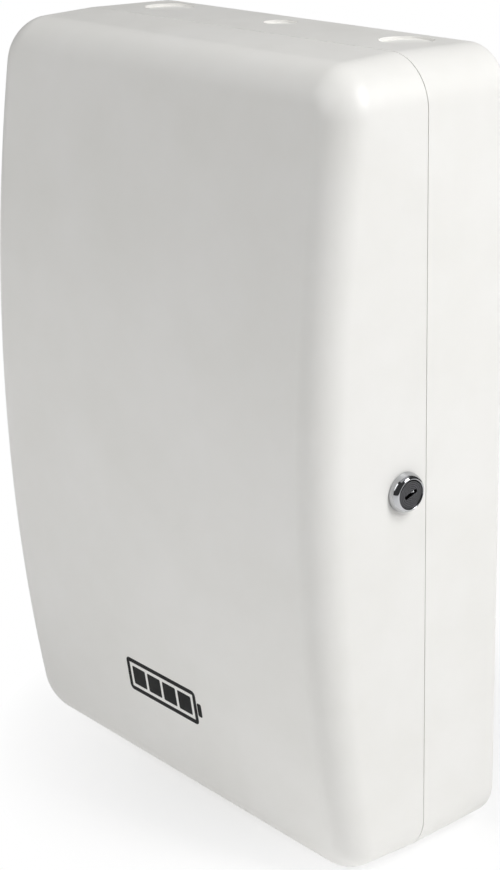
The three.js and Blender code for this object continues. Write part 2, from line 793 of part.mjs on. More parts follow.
// ---- build ----
add("back_box", backBox(), "casePlastic");
add("front_cover", frontCover(), "casePlastic");
add("hinge_pin_upper", hingePin(HINGE.z), "steel");
add("hinge_pin_lower", hingePin(-HINGE.z), "steel");

add("lock_housing", lockHousing(), "chrome", lock);
add("lock_plug", lockPlug(), "darkChrome", lock);
add("lock_nut", lockNut(), "zincSteel", lock);
add("lock_cam", lockCam(), "zincSteel", lock);
add("lock_cam_screw", lockCamScrew(), "steel", lock);
add("lock_strike", lockStrike(), "zincSteel");
add("strike_screw_lower", strikeScrew(strikeScrewHeights()[0]), "steel");
add("strike_screw_upper", strikeScrew(strikeScrewHeights()[1]), "steel");

add("battery_case", batteryCase(), "batteryGrey");
add("battery_lid", batteryLid(), "batteryLid");
add("battery_terminal_positive", batteryTerminal(tabX.positive), "lead");
add("battery_terminal_negative", batteryTerminal(tabX.negative), "lead");
add("battery_strap", batteryStrap(), "zincSteel");
add("strap_screw_left", strapScrew(STRAP.screwLeft), "steel");
add("strap_screw_right", strapScrew(STRAP.screwRight), "steel");

add("psu_chassis", psuChassis(), "aluminium");
add("psu_cover", psuCover(), "aluminium");
add("psu_board", psuBoard(), "boardGreen");
add("psu_transformer", psuTransformer(), "ferrite");
add("psu_terminal_strip", psuTerminalStrip(), "terminalBlack");
add("psu_terminal_guard", psuTerminalGuard(), "clear");
add("mains_terminal_block", mainsTerminalBlock(), "nylon");
add("mains_fuse_base", mainsFuseBase(), "terminalBlack");
add("mains_fuse_carrier", mainsFuseCarrier(), "terminalBlack");

add("charger_board", chargerBoard(), "boardGreen");
BOARD_HOLES.forEach((hole, i) => {
  add(`board_pillar_${i + 1}`, boardPillar(hole), "nylon");
  add(`board_screw_${i + 1}`, boardScrew(hole), "steel");
});
add("heat_sink", heatSink(), "aluminium");
add("filter_capacitor_1", capacitor(76, 150, 9, 30), "capacitorBlack");
add("filter_capacitor_2", capacitor(74, 128, 6.3, 20), "capacitorBlack");
add("inductor", inductor(), "ferrite");
add("relay", relay(), "relayBlue");
add("fuse_holder", fuseHolder(), "terminalBlack");
add("blade_fuse", bladeFuse(), "fuseAmber");
add("input_terminal_block", terminalBlock(4, 2, 10), "terminalGreen");
add("output_terminal_block", terminalBlock(28, 4, 5), "terminalGreen");
add("signal_terminal_block", terminalBlock(80, 6, 5), "terminalGreen");
add("battery_plug", batteryPlug(), "nylon");

add("tamper_switch_body", tamperBody(), "terminalBlack");
add("tamper_plunger", tamperPlunger(), "nylon");
add("tamper_spring", tamperSpring(), "steel");
add("test_button_body", buttonBody(), "terminalBlack");
add("test_button_cap", buttonCap(), "red");

const plugEntry = [onBoard - 5, BOARD.bottom + 1.5 - 2 * GAP];
const leadRoutes = {
  red: [[66, -58, 12], [67, -38, 22], [67.5, -21, 31], [67.5, ...plugEntry]],
  black: [
    [-68, -60, 8],
    [-40, -56, 14],
    [8, -48, 15],
    [44, -34, 18],
    [58, -20.5, 30],
    [59.5, ...plugEntry],
  ],
};
add("battery_lead_red", batteryLead(tabX.positive, leadRoutes.red), "red");
add("battery_lead_black", batteryLead(tabX.negative, leadRoutes.black), "black");

const stripEntry = [-18, PSU.bottom + 4];
const mainsEntry = [-10, MAINS.top + GAP];
const mainsWires = {
  live: [[-111, -11.5, FUSE.top + GAP], [-111, -13, 45], [-109, -17, 52], [poleX(0), ...stripEntry]],
  neutral: [[mainsX(0), ...mainsEntry], [mainsX(0), -12, 41], [-96, -17, 51], [poleX(1), ...stripEntry]],
  earth: [[mainsX(1), ...mainsEntry], [mainsX(1), -12, 41], [-86, -17, 51], [poleX(2), ...stripEntry]],
};
const wireFinish = { live: "brown", neutral: "blue", earth: "earthGreen" };
for (const [name, route] of Object.entries(mainsWires)) {
  add(`mains_wire_${name}`, tube(1.4, route, 14), wireFinish[name]);
}

const boardEntry = [onBoard - 4.7, BOARD.bottom + 1.5 - GAP];
const supplyWires = {
  positive: [[poleX(7), ...stripEntry], [poleX(7), -18, 50], [-33, -18, 37], [-8, -18, 30], [14, -18, 33]],
  negative: [[poleX(8), ...stripEntry], [poleX(8), -18, 50], [-24, -18, 41], [-10, -18, 36.5], [5, -18, 38]],
};
add("dc_wire_positive", tube(1.4, [...supplyWires.positive, [19, ...boardEntry]], 26), "red");
add("dc_wire_negative", tube(1.4, [...supplyWires.negative, [9, ...boardEntry]], 22), "black");

export default unit;
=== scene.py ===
import json
import math

import bpy
from mathutils import Matrix, Vector


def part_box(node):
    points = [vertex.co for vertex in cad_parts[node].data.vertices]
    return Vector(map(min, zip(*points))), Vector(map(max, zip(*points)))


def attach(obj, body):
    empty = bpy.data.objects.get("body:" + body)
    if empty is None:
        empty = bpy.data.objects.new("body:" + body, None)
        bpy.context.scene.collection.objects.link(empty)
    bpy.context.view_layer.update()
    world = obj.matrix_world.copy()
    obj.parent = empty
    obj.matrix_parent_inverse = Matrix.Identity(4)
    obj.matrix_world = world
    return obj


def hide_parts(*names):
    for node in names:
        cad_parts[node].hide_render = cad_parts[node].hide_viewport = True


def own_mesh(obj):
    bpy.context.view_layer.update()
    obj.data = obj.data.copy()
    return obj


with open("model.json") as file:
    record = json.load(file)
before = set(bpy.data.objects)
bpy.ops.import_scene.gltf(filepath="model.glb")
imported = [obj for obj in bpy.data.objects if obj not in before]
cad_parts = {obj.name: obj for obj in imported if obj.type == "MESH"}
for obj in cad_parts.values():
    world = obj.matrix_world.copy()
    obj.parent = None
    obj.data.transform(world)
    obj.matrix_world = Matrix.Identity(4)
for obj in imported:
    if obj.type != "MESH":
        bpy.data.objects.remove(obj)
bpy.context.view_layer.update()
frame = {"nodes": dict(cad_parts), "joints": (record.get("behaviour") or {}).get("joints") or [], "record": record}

nodes = frame["nodes"]
joints = {joint["name"]: joint for joint in frame["joints"]}
hingeAxis = Vector(joints["cover_hinge"]["pos_m"])
seam = hingeAxis.y  # the plane where the two mouldings meet
outward = (0, -1, 0)  # from the wall into the room


def mm(value):
    return value / 1000


# helpers that pick, place, cut, join and finish objects
def pickNone():
    bpy.ops.object.select_all(action="DESELECT")


def pick(*pieces):
    pickNone()
    for piece in pieces:
        piece.select_set(True)
    bpy.context.view_layer.objects.active = pieces[0]


def settle(piece):
    # puts the piece's place, turn and scale into its mesh
    pick(piece)
    bpy.ops.object.transform_apply(location=True, rotation=True, scale=True)


def modify(piece, kind, **settings):
    # adds a modifier and applies it at once
    pick(piece)
    modifier = piece.modifiers.new("step", kind)
    for key, value in settings.items():
        setattr(modifier, key, value)
    bpy.ops.object.modifier_apply(modifier=modifier.name)


def selectFaces(piece, test):
    mesh = piece.data
    for vert in mesh.vertices:
        vert.select = False
    for edge in mesh.edges:
        edge.select = False
    for face in mesh.polygons:
        face.select = test(face)


def inEdit(piece, mode="FACE"):
    pick(piece)
    bpy.ops.object.mode_set(mode="EDIT")
    bpy.ops.mesh.select_mode(type=mode)


def selectAll():
    bpy.ops.mesh.select_all(action="SELECT")


def outOfEdit():
    bpy.ops.object.mode_set(mode="OBJECT")


def roundEdges(piece, width, segments=2, angle=40):
    modify(
        piece, "BEVEL", width=width, segments=segments, limit_method="ANGLE",
        angle_limit=math.radians(angle), harden_normals=False,
    )


def smooth(piece, angle=35):
    pick(piece)
    bpy.ops.object.shade_smooth_by_angle(angle=math.radians(angle))
    modify(piece, "WEIGHTED_NORMAL", keep_sharp=True, weight=60)


def block(name, low, high, edge=0.3, segments=2):
    # a moulded or cut block with broken edges; corners in metres, edge in millimetres
    pickNone()
    low, high = Vector(low), Vector(high)
    bpy.ops.mesh.primitive_cube_add(size=1, location=(low + high) / 2)
    piece = bpy.context.object
    piece.name = name
    piece.scale = [max(abs(side), 1e-6) for side in high - low]
    settle(piece)
    if edge:
        roundEdges(piece, mm(edge), segments)
    return piece


def rod(name, radius, start, end, sides=32, edge=0.0, segments=2):
    # a round bar from one point to another
    pickNone()
    start, end = Vector(start), Vector(end)
    bpy.ops.mesh.primitive_cylinder_add(
        vertices=sides, radius=radius, depth=(end - start).length, location=(start + end) / 2
    )
    piece = bpy.context.object
    piece.name = name
    piece.rotation_mode = "QUATERNION"
    piece.rotation_quaternion = Vector((0, 0, 1)).rotation_difference((end - start).normalized())
    settle(piece)
    if edge:
        roundEdges(piece, mm(edge), segments, 50)
    return piece


def joinAll(name, pieces):
    pick(*pieces)
    if len(pieces) > 1:
        bpy.ops.object.join()
    piece = bpy.context.object
    piece.name = name
    return piece


def twinOf(piece):
    twin = piece.copy()
    twin.data = piece.data.copy()
    bpy.context.scene.collection.objects.link(twin)
    return twin


def sliceAt(heights):
    # cuts level lines into the mesh being edited
    for z in heights:
        selectAll()
        bpy.ops.mesh.bisect(plane_co=(0, 0, z), plane_no=(0, 0, 1))


def cutAway(piece, *tools, how="DIFFERENCE"):
    for tool in tools:
        modify(piece, "BOOLEAN", operation=how, object=tool, solver="EXACT")
        bpy.data.objects.remove(tool)


def complete(piece, material=None, body="base", replaced=(), angle=35, slot=None):
    # shades a piece, gives it its material and body, and hides the CAD pieces it stands for
    smooth(piece, angle)
    if material is not None:
        piece.data.materials.clear()
        piece.data.materials.append(material)
    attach(piece, body)
    if replaced:
        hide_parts(*replaced)
    return piece


def refine(node, material, edge=0.3, segments=2, angle=35):
    # a CAD piece with its loose triangles merged, its flats made whole and its edges broken
    piece = twinOf(nodes[node])
    for key in list(piece.keys()):
        del piece[key]
    piece.parent = None
    piece.name = node + "_finished"
    inEdit(piece, "VERT")
    selectAll()
    bpy.ops.mesh.remove_doubles(threshold=mm(0.005))
    bpy.ops.mesh.dissolve_limited(angle_limit=math.radians(1.5))
    outOfEdit()
    if edge:
        roundEdges(piece, mm(edge), segments)
    body = next(name for name, made in bodyNodes.items() if node in made)
    return complete(piece, material, body, [node], angle)


bodyNodes = frame["record"]["behaviour"]["bodies"]


def at(x, y, z):
    return Vector((mm(x), mm(y), mm(z)))


def middleOf(node):
    low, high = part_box(node)
    return [(a + b) / 2 for a, b in zip(low, high)]


def aim(base, along):
    # a frame at a place, with its Z along a direction
    turn = Vector((0, 0, 1)).rotation_difference(Vector(along).normalized())
    return Matrix.Translation(base) @ turn.to_matrix().to_4x4()


def paint(piece, material, test=None):
    # gives the whole piece, or the faces that pass a test, a material
    if test is None:
        piece.data.materials.clear()
        piece.data.materials.append(material)
        return piece
    piece.data.materials.append(material)
    for face in piece.data.polygons:
        if test(face):
            face.material_index = len(piece.data.materials) - 1
    return piece


def copiesAt(piece, frames):
    # the piece and its copies, each placed by one of the frames
    made = []
    for place in frames:
        twin = twinOf(piece)
        twin.data.transform(place)
        made.append(twin)
    bpy.data.objects.remove(piece)
    return made


def lathe(name, profile, place=None, steps=40):
    # turns a closed profile of (radius, distance along), in millimetres, round Z
    pickNone()
    bpy.ops.mesh.primitive_circle_add(vertices=len(profile), radius=1)
    piece = bpy.context.object
    piece.name = name
    for vert, (radius, reach) in zip(piece.data.vertices, profile):
        vert.co = (mm(radius), 0, mm(reach))
    inEdit(piece, "VERT")
    selectAll()
    bpy.ops.mesh.spin(steps=steps, angle=2 * math.pi, center=(0, 0, 0), axis=(0, 0, 1))
    selectAll()
    bpy.ops.mesh.remove_doubles(threshold=mm(0.002))
    bpy.ops.mesh.delete_loose()
    selectAll()
    bpy.ops.mesh.normals_make_consistent(inside=False)
    outOfEdit()
    if place is not None:
        piece.data.transform(place)
    return piece


def smoothPath(points, steps=8):
    # a smooth line through the points, evenly paced between them
    points = [Vector(point) for point in points]
    ends = [points[0] * 2 - points[1], *points, points[-1] * 2 - points[-2]]
    path = []
    for p0, p1, p2, p3 in zip(ends, ends[1:], ends[2:], ends[3:]):
        t1 = (p1 - p0).length ** 0.5
        t2 = t1 + (p2 - p1).length ** 0.5
        t3 = t2 + (p3 - p2).length ** 0.5
        for i in range(steps):
            t = t1 + (t2 - t1) * i / steps
            a, b = p0.lerp(p1, t / t1), p1.lerp(p2, (t - t1) / (t2 - t1))
            c = p2.lerp(p3, (t - t2) / (t3 - t2))
            d, e = a.lerp(b, t / t2), b.lerp(c, (t - t1) / (t3 - t1))
            path.append(d.lerp(e, (t - t1) / (t2 - t1)))
    return path + [points[-1]]


def tube(name, path, radius, resolution=3):
    # a round bar along a path, closed at both ends
    curve = bpy.data.curves.new(name, "CURVE")
    curve.dimensions = "3D"
    curve.bevel_depth = radius
    curve.bevel_resolution = resolution
    curve.use_fill_caps = True
    line = curve.splines.new("POLY")
    line.points.add(len(path) - 1)
    for point, place in zip(line.points, path):
        point.co = (*place, 1)
    piece = bpy.data.objects.new(name, curve)
    bpy.context.scene.collection.objects.link(piece)
    pick(piece)
    bpy.ops.object.convert(target="MESH")
    piece = bpy.context.object
    inEdit(piece, "VERT")
    selectAll()
    bpy.ops.mesh.remove_doubles(threshold=mm(0.002))
    bpy.ops.mesh.normals_make_consistent(inside=False)
    outOfEdit()
    return piece


def screwShape(head, rise, shank, length):
    # a pan-head screw with a cross recess, its seat at the origin and its head along Z
    thread = []
    for i in range(max(int((length - 1.2) / 0.8), 1)):
        height = 1.2 - length + i * 0.8
        thread += [(shank, height), (shank * 0.82, height + 0.4)]
    piece = lathe("screw", [
        (0, -length), (shank * 0.55, -length), *thread, (shank, 0), (head * 0.96, 0), (head, rise * 0.2),
        (head * 0.96, rise * 0.55), (head * 0.78, rise * 0.85), (head * 0.45, rise), (0, rise),
    ], steps=28)
    reach, half = head * 0.6, head * 0.13
    for turn in (0, math.pi / 2):
        arm = block("arm", at(-reach, -half, rise * 0.42), at(reach, half, rise + 1), 0)
        arm.data.transform(Matrix.Rotation(turn, 4, "Z"))
        cutAway(piece, arm)
    return piece


# materials: every texture runs on object coordinates, sized in millimetres
def linear(code):
    # an sRGB hex colour as the linear values that a shader takes
    parts = [int(code[i:i + 2], 16) / 255 for i in (1, 3, 5)]
    return [p / 12.92 if p <= 0.04045 else ((p + 0.055) / 1.055) ** 2.4 for p in parts] + [1]


def addNode(tree, kind, settings=None, links=None):
    # one node with its settings, by property or socket, and its links
    made = tree.nodes.new(kind)
    for key, value in (settings or {}).items():
        if isinstance(key, int) or key in made.inputs:
            made.inputs[key].default_value = value
        else:
            setattr(made, key, value)
    for key, source in (links or {}).items():
        tree.links.new(source, made.inputs[key])
    return made


def newMaterial(name, **shader):
    # an empty material with its Principled shader set; returns material, tree, shader, object coordinates
    material = bpy.data.materials.new(name)
    material.use_nodes = True
    tree = material.node_tree
    bsdf = tree.nodes["Principled BSDF"]
    for key, value in shader.items():
        bsdf.inputs[key.replace("_", " ")].default_value = value
    place = tree.nodes.new("ShaderNodeTexCoord").outputs["Object"]
    return material, tree, bsdf, place


def surface(name, fields, colour=None, gloss=None, bump=None, **shader):
    # fields are noises, as (size in millimetres, detail, stretch), or rows of other nodes;
    # colour, gloss and bump each name a field, with what its low and high ends give and where they lie
    material, tree, bsdf, place = newMaterial(name, **shader)
    made = {}
    for field, row in fields.items():
        if isinstance(row, tuple):
            size, detail, stretch = row
            noise = {"Scale": 1 / mm(size), "Detail": detail, "Roughness": 0.55}
            row = [("ShaderNodeMapping", {"Scale": stretch}), ("ShaderNodeTexNoise", noise)]
        made[field] = place
        for kind, settings in row:
            outputs = addNode(tree, kind, settings, {"Vector": made[field]}).outputs
            made[field] = outputs["Fac" if "Fac" in outputs else 0]
    if colour:
        field, *codes, start, stop = colour
        ramp = addNode(tree, "ShaderNodeValToRGB", links={"Fac": made[field]})
        for element, code, position in zip(ramp.color_ramp.elements, codes, (start, stop)):
            element.color = linear(code)
            element.position = position
        tree.links.new(ramp.outputs["Color"], bsdf.inputs["Base Color"])
    if gloss:
        field, low, high, start, stop = gloss
        span = {"From Min": start, "From Max": stop, "To Min": low, "To Max": high}
        sheen = addNode(tree, "ShaderNodeMapRange", span, {"Value": made[field]})
        tree.links.new(sheen.outputs[0], bsdf.inputs["Roughness"])
    if bump:
        field, depth = bump
        relief = {"Strength": 1.0, "Distance": mm(depth)}
        raised = addNode(tree, "ShaderNodeBump", relief, {"Height": made[field]})
        tree.links.new(raised.outputs[0], bsdf.inputs["Normal"])
    return material


even = (1, 1, 1)


def mouldedPlastic(name, light, dark, roughness, texture=0.6, depth=0.006, **shader):
    # injection-moulded plastic: even colour, a fine spark texture and slightly uneven gloss
    return surface(
        name, {"tone": (45, 3, even), "gloss": (12, 4, even), "spark": (texture, 3, even)},
        ("tone", dark, light, 0.3, 0.7), ("gloss", roughness - 0.035, roughness + 0.035, 0.3, 0.7),
        ("spark", depth), IOR=1.53, **shader,
    )


def sheetMetal(name, light, dark, roughness, stretch=even, size=4, depth=0.004):
    # rolled or plated metal: cloudy tone, and rolling lines where stretched
    return surface(
        name, {"cloud": (size, 5, stretch), "lines": (size / 6, 4, stretch)},
        ("cloud", dark, light, 0.3, 0.7), ("cloud", roughness - 0.07, roughness + 0.09, 0.3, 0.7),
        ("lines", depth), Metallic=1.0,
    )


# moulded ABS, white: satin, with a fine spark texture drawn a little coarser than the real 0.2 mm
caseAbs = mouldedPlastic("moulded_abs_white", "#F3F2EF", "#EFEEEA", 0.40, 0.5, 0.004)
# filled ABS from an unpolished tool: a coarser, drier grain than the case
batteryAbs = mouldedPlastic("moulded_abs_graphite", "#3B3E43", "#33363A", 0.52, 0.8, 0.02)
batteryLidAbs = mouldedPlastic("moulded_abs_black", "#26282C", "#202226", 0.46, 0.7, 0.02)
# polyamide of the terminal blocks, fuse bases and switch bodies: satin and even
blackPolyamide = mouldedPlastic("moulded_polyamide_black", "#1E1E20", "#161618", 0.50, 0.5, 0.01)
greenPolyamide = mouldedPlastic("moulded_polyamide_green", "#3E9A5C", "#348A50", 0.42, 0.6, 0.008)
# unfilled nylon: milky, letting a little light in
naturalNylon = mouldedPlastic(
    "moulded_nylon_natural", "#E9E4D6", "#DDD7C6", 0.44, 0.7, 0.008, Subsurface_Weight=0.25
)
redPlastic = mouldedPlastic("moulded_abs_red", "#C21F22", "#B01A1D", 0.35, 0.6, 0.006)
relayPlastic = mouldedPlastic("moulded_pbt_blue", "#2F62A8", "#295797", 0.30, 0.8, 0.004)
amberPlastic = mouldedPlastic(
    "moulded_polycarbonate_amber", "#E39325", "#D4831A", 0.22, 0.9, 0.003, Transmission_Weight=0.45
)
# polished chromium plate: a near mirror, greyer than nickel
chromeBright = sheetMetal("chrome_plate_bright", "#C4C5C7", "#BBBCBF", 0.09, size=9, depth=0.0005)
# bright zinc on steel: soft spangle on sheet, closer and shinier on screws
zincSheet = sheetMetal("zinc_plated_steel_sheet", "#C3C8CB", "#AEB3B8", 0.34, size=5, depth=0.003)
screwSteel = sheetMetal("zinc_plated_steel_screw", "#C9CBCB", "#B4B6B7", 0.27, size=1.5, depth=0.002)
# aluminium with its rolling or extrusion lines along Z
millAluminium = sheetMetal(
    "mill_finish_aluminium", "#D4D6D8", "#BEC1C4", 0.36, (1, 1, 0.06), 1.6, 0.003
)
extrudedAluminium = sheetMetal(
    "extruded_aluminium", "#C8CACD", "#A9ACB0", 0.33, (1, 1, 0.05), 0.9, 0.006
)
tinnedBrass = sheetMetal("tinned_brass", "#C4C3BF", "#A9A8A4", 0.33, size=2, depth=0.003)
springSteel = sheetMetal("spring_steel_wire", "#A7A9AB", "#8C8E91", 0.25, size=1.2, depth=0.002)


# the lock plug's turned face: fine rings round the lock's axis, with an uneven sheen; its dark grey base colour is
# a painted dark reflection on bright nickel
plugNickel = surface(
    "turned_nickel_painted_dark_reflection",
    {"rings": [
        ("ShaderNodeMapping", {"vector_type": "TEXTURE", "Location": joints["lock_turn"]["pos_m"]}),
        ("ShaderNodeTexWave", {
            "wave_type": "RINGS", "rings_direction": "X", "Scale": 0.314 / mm(0.45) / 2,
            "Distortion": 1.5, "Detail": 2.0, "Detail Scale": 3.0,
        }),
    ]},
    # painted dark reflection: the base colour runs from dark grey to mid grey across the rings
    ("rings", "#3C3C3E", "#5E5E60", 0.1, 0.9), ("rings", 0.22, 0.36, 0.0, 1.0), ("rings", 0.03),
    Metallic=1.0,
)
# clear polycarbonate sheet: glass-clear with faint scuffs
guardClear = surface(
    "clear_polycarbonate", {"scuffs": (3, 4, (1, 1, 0.2))}, gloss=("scuffs", 0.03, 0.12, 0.3, 0.7),
    Base_Color=linear("#F4F8F8"), IOR=1.585, Transmission_Weight=1.0,
)
# green solder mask over copper: tracks stand slightly proud and look lighter
boardMask = surface(
    "solder_mask_green",
    {"tracks": [
        ("ShaderNodeMapping", {"Rotation": (math.pi / 2, 0, 0)}),
        ("ShaderNodeTexBrick", {
            "Scale": 1.0, "Mortar Size": mm(0.45), "Brick Width": mm(13), "Row Height": mm(2.54),
            "Mortar Smooth": 0.2, "offset": 0.37, "squash": 0.6, "squash_frequency": 3,
        }),
    ], "gloss": (5, 3, even)},
    ("tracks", "#14502D", "#2B7A48", 0.4, 0.6), ("gloss", 0.26, 0.38, 0.3, 0.7), ("tracks", 0.035),
    IOR=1.52, Coat_Weight=0.25,
)
# pressed and sintered ferrite: near black, dry, with a fine pitted grain
ferrite = surface(
    "sintered_ferrite", {"pits": (0.5, 5, even)}, ("pits", "#29282A", "#3A393B", 0.3, 0.7),
    ("pits", 0.55, 0.75, 0.3, 0.7), ("pits", 0.03), IOR=1.6,
)


def insulation(name, light, dark):
    # extruded PVC insulation: soft sheen with faint drawing lines
    return mouldedPlastic(name, light, dark, 0.38, 0.9, 0.004, Sheen_Weight=0.1)


pvcRed = insulation("pvc_insulation_red", "#C4201F", "#B31B1B")
pvcBlack = insulation("pvc_insulation_black", "#1D1D1F", "#171718")
pvcBrown = insulation("pvc_insulation_brown", "#6B3E20", "#5E3519")
pvcBlue = insulation("pvc_insulation_blue", "#2A60B4", "#2455A2")
pvcGreen = insulation("pvc_insulation_green", "#5FA233", "#54922B")
pvcYellow = insulation("pvc_insulation_yellow", "#E3C32A", "#D6B51F")
# soft vinyl over the wires' crimped ends, a little waxy
lugVinyl = mouldedPlastic("vinyl_sleeve_grey", "#8F9396", "#818589", 0.42, 0.6, 0.004)
# shrink sleeves on the capacitors: thin glossy film that shows faint ripples
sleevePvc = mouldedPlastic("shrink_sleeve_pvc", "#232C4A", "#1D2540", 0.30, 1.5, 0.004)
sleeveBlack = mouldedPlastic("shrink_sleeve_pvc_black", "#1B1B1D", "#141415", 0.30, 1.5, 0.004)
stripeGrey = mouldedPlastic("marking_ink_grey", "#B9BCC0", "#AEB1B5", 0.38, 0.8, 0.002)
# pad-printed ink: a dense, even, slightly glossy film
printInk = mouldedPlastic(
    "pad_print_ink_black", "#070707", "#040404", 0.50, 0.4, 0.001, Specular_IOR_Level=0.18
)
legendInk = mouldedPlastic("screen_print_ink_white", "#E9ECE8", "#DDE1DC", 0.50, 0.4, 0.002)
# transfer-moulded epoxy: near black and dry, with a fine filler grain
chipEpoxy = mouldedPlastic("moulded_epoxy_black", "#232325", "#1A1A1C", 0.58, 0.3, 0.006)
# wound polyester tape: glossy yellow film
polyesterTape = mouldedPlastic("polyester_tape_yellow", "#D9B53A", "#CBA52E", 0.28, 2.0, 0.01)
amberBox = mouldedPlastic("moulded_pbt_yellow", "#D8A92B", "#CB9B20", 0.36, 0.7, 0.006)
# enamelled copper wire: bright under a clear orange varnish
enamelledCopper = sheetMetal("enamelled_copper", "#C9692F", "#A95223", 0.22, size=2.5, depth=0.001)
# tinted clear epoxy of the indicator lamps
lampTints = {"green": ("#3FBF58", "#36AE4D"), "amber": ("#F0A83A", "#E39A2C"), "red": ("#D9302B", "#C92622")}
lampPlastics = {
    tint: mouldedPlastic("tinted_epoxy_" + tint, *codes, 0.16, 1.5, 0.001, Transmission_Weight=0.35)
    for tint, codes in lampTints.items()
}
print("materials made")

# the view, three soft lights, the floor and its white surround
camera = {"place": (0.7213, -0.6338, 0.3191), "turn": 50.72, "tip": 19.45, "roll": -1.38, "lens": 82.76}
lights = [
    {"name": "keySide", "place": (1.05, 0.29, 0.95), "size": (0.5, 0.9), "power": 15.4},
    {"name": "fillFront", "place": (-0.7, -1.7, 1.4), "size": (2.0, 1.6), "power": 22},
    {"name": "topSoft", "place": (0.0, 0.1, 1.8), "size": (1.8, 1.8), "power": 5},
]


def setCamera():
    pickNone()
    bpy.ops.object.camera_add()
    view = bpy.context.object
    turn = Matrix.Rotation(math.radians(camera["turn"]), 4, "Z")
    tip = Matrix.Rotation(math.radians(90 - camera["tip"]), 4, "X")
    roll = Matrix.Rotation(math.radians(camera["roll"]), 4, "Z")
    view.matrix_world = Matrix.Translation(camera["place"]) @ turn @ tip @ roll
    view.data.lens = camera["lens"]
    view.data.clip_end = 50
    bpy.context.scene.camera = view


def setLights():
    target = Vector((0, seam, 0))
    for settings in lights:
        pickNone()
        bpy.ops.object.light_add(type="AREA", location=settings["place"])
        lamp = bpy.context.object
        lamp.name = settings["name"]
        lamp.data.shape = "RECTANGLE"
        lamp.data.size, lamp.data.size_y = settings["size"]
        lamp.data.energy = settings["power"]
        towards = target - Vector(settings["place"])
        lamp.rotation_euler = towards.to_track_quat("-Z", "Y").to_euler()
    world = bpy.data.worlds.new("studio")
    world.use_nodes = True
    backdrop = world.node_tree.nodes["Background"]
    backdrop.inputs["Color"].default_value = linear("#FFFFFF")
    backdrop.inputs["Strength"].default_value = 0.06
    bpy.context.scene.world = world
    bpy.context.scene.view_settings.view_transform = "Standard"


# the floor lies a hair under the case; the veil turns white between two distances from the middle
studio = {"floor": mm(-190.5), "reach": 1.7, "glow": 0.2, "whiteFrom": 0.03, "whiteTo": 0.18, "dome": 14}


def stageMaterial(name, glow, colour="#000000"):
    # paper or cloth that glows a little by itself, so that it shows white
    return newMaterial(
        name, Roughness=1.0, Base_Color=linear(colour), Specular_IOR_Level=0.0,
        Emission_Color=linear("#FFFFFF"), Emission_Strength=glow,
    )


def floorDisc(name, height):
    pickNone()
    bpy.ops.mesh.primitive_circle_add(
        vertices=96, radius=studio["reach"], fill_type="NGON", location=(0, 0, height)
    )
    disc = bpy.context.object
    disc.name = name
    settle(disc)
    return disc


def setFloor():
    # a round paper floor, a veil that whitens it outwards, and a white tent round it all
    floor = floorDisc("studioFloor", studio["floor"])
    floor.data.materials.append(stageMaterial("studio_paper_white", studio["glow"], "#F2F2F2")[0])
    veil = floorDisc("studioVeil", studio["floor"] + mm(0.2))
    material, tree, bsdf, place = stageMaterial("studio_veil_white", 1.0)
    flat = addNode(tree, "ShaderNodeVectorMath", {"operation": "MULTIPLY", 1: (1, 1, 0)}, {0: place})
    away = addNode(tree, "ShaderNodeVectorMath", {"operation": "LENGTH"}, {0: flat.outputs[0]})
    span = {"From Min": studio["whiteFrom"], "From Max": studio["whiteTo"], "To Min": 0, "To Max": 1}
    opacity = addNode(tree, "ShaderNodeMapRange", span, {"Value": away.outputs["Value"]})
    tree.links.new(opacity.outputs[0], bsdf.inputs["Alpha"])
    veil.data.materials.append(material)
    pickNone()
    bpy.ops.mesh.primitive_uv_sphere_add(segments=48, ring_count=24, radius=studio["dome"])
    tent = bpy.context.object
    tent.name = "studioTent"
    tent.data.materials.append(stageMaterial("studio_cloth_white", 1.0)[0])
    for piece in (veil, tent):
        # both show to the camera only, and neither light nor shade anything
        for ray in ("diffuse", "glossy", "transmission", "volume_scatter", "shadow"):
            setattr(piece, "visible_" + ray, False)


setCamera()
setLights()
setFloor()
print("camera, lights and floor set")

# the cover and the box: two mouldings of one outline that meet at the seam
caseShape = {
    "wall": mm(3), "cornerRadius": mm(22.5), "cornerSegments": 20,
    "baseDraft": 0.024, "backRound": mm(2.5),
    "coverDraft": 0.037, "frontFillet": mm(16), "frontBow": mm(18.5), "filletSegments": 14, "levels": 30,
    "openLine": mm(0.25), "edge": mm(0.35),
}
coverLow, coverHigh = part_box("front_cover")
halfWidth, halfHeight, frontFace = coverHigh.x, coverHigh.z, coverLow.y


def roundedPlate(name, y, inset=0.0, facing=-1):
    # a flat plate with round corners, facing the front (-1) or the wall (1)
    pickNone()
    bpy.ops.mesh.primitive_plane_add(size=1, location=(0, y, 0), rotation=(-facing * math.pi / 2, 0, 0))
    piece = bpy.context.object
    piece.name = name
    piece.scale = (2 * (halfWidth - inset), 2 * (halfHeight - inset), 1)
    settle(piece)
    inEdit(piece, "VERT")
    selectAll()
    bpy.ops.mesh.bevel(
        offset=caseShape["cornerRadius"] - inset, offset_type="OFFSET", profile=0.5,
        segments=caseShape["cornerSegments"], affect="VERTICES",
    )
    outOfEdit()
    return piece


def stepIn(thickness, depth):
    bpy.ops.mesh.inset(
        thickness=thickness, depth=depth, use_boundary=True, use_even_offset=True,
        use_relative_offset=False,
    )


def roundOver(radius, segments):
    # steps the selected faces in and out along a quarter circle
    angles = [i / segments * math.pi / 2 for i in range(segments + 1)]
    for a, b in zip(angles, angles[1:]):
        stepIn(radius * (math.cos(a) - math.cos(b)), radius * (math.sin(b) - math.sin(a)))


def bowedFront(z):
    sag = caseShape["frontBow"]
    radius = (halfHeight ** 2 + sag ** 2) / (2 * sag)
    return frontFace + radius - math.sqrt(radius ** 2 - z ** 2)


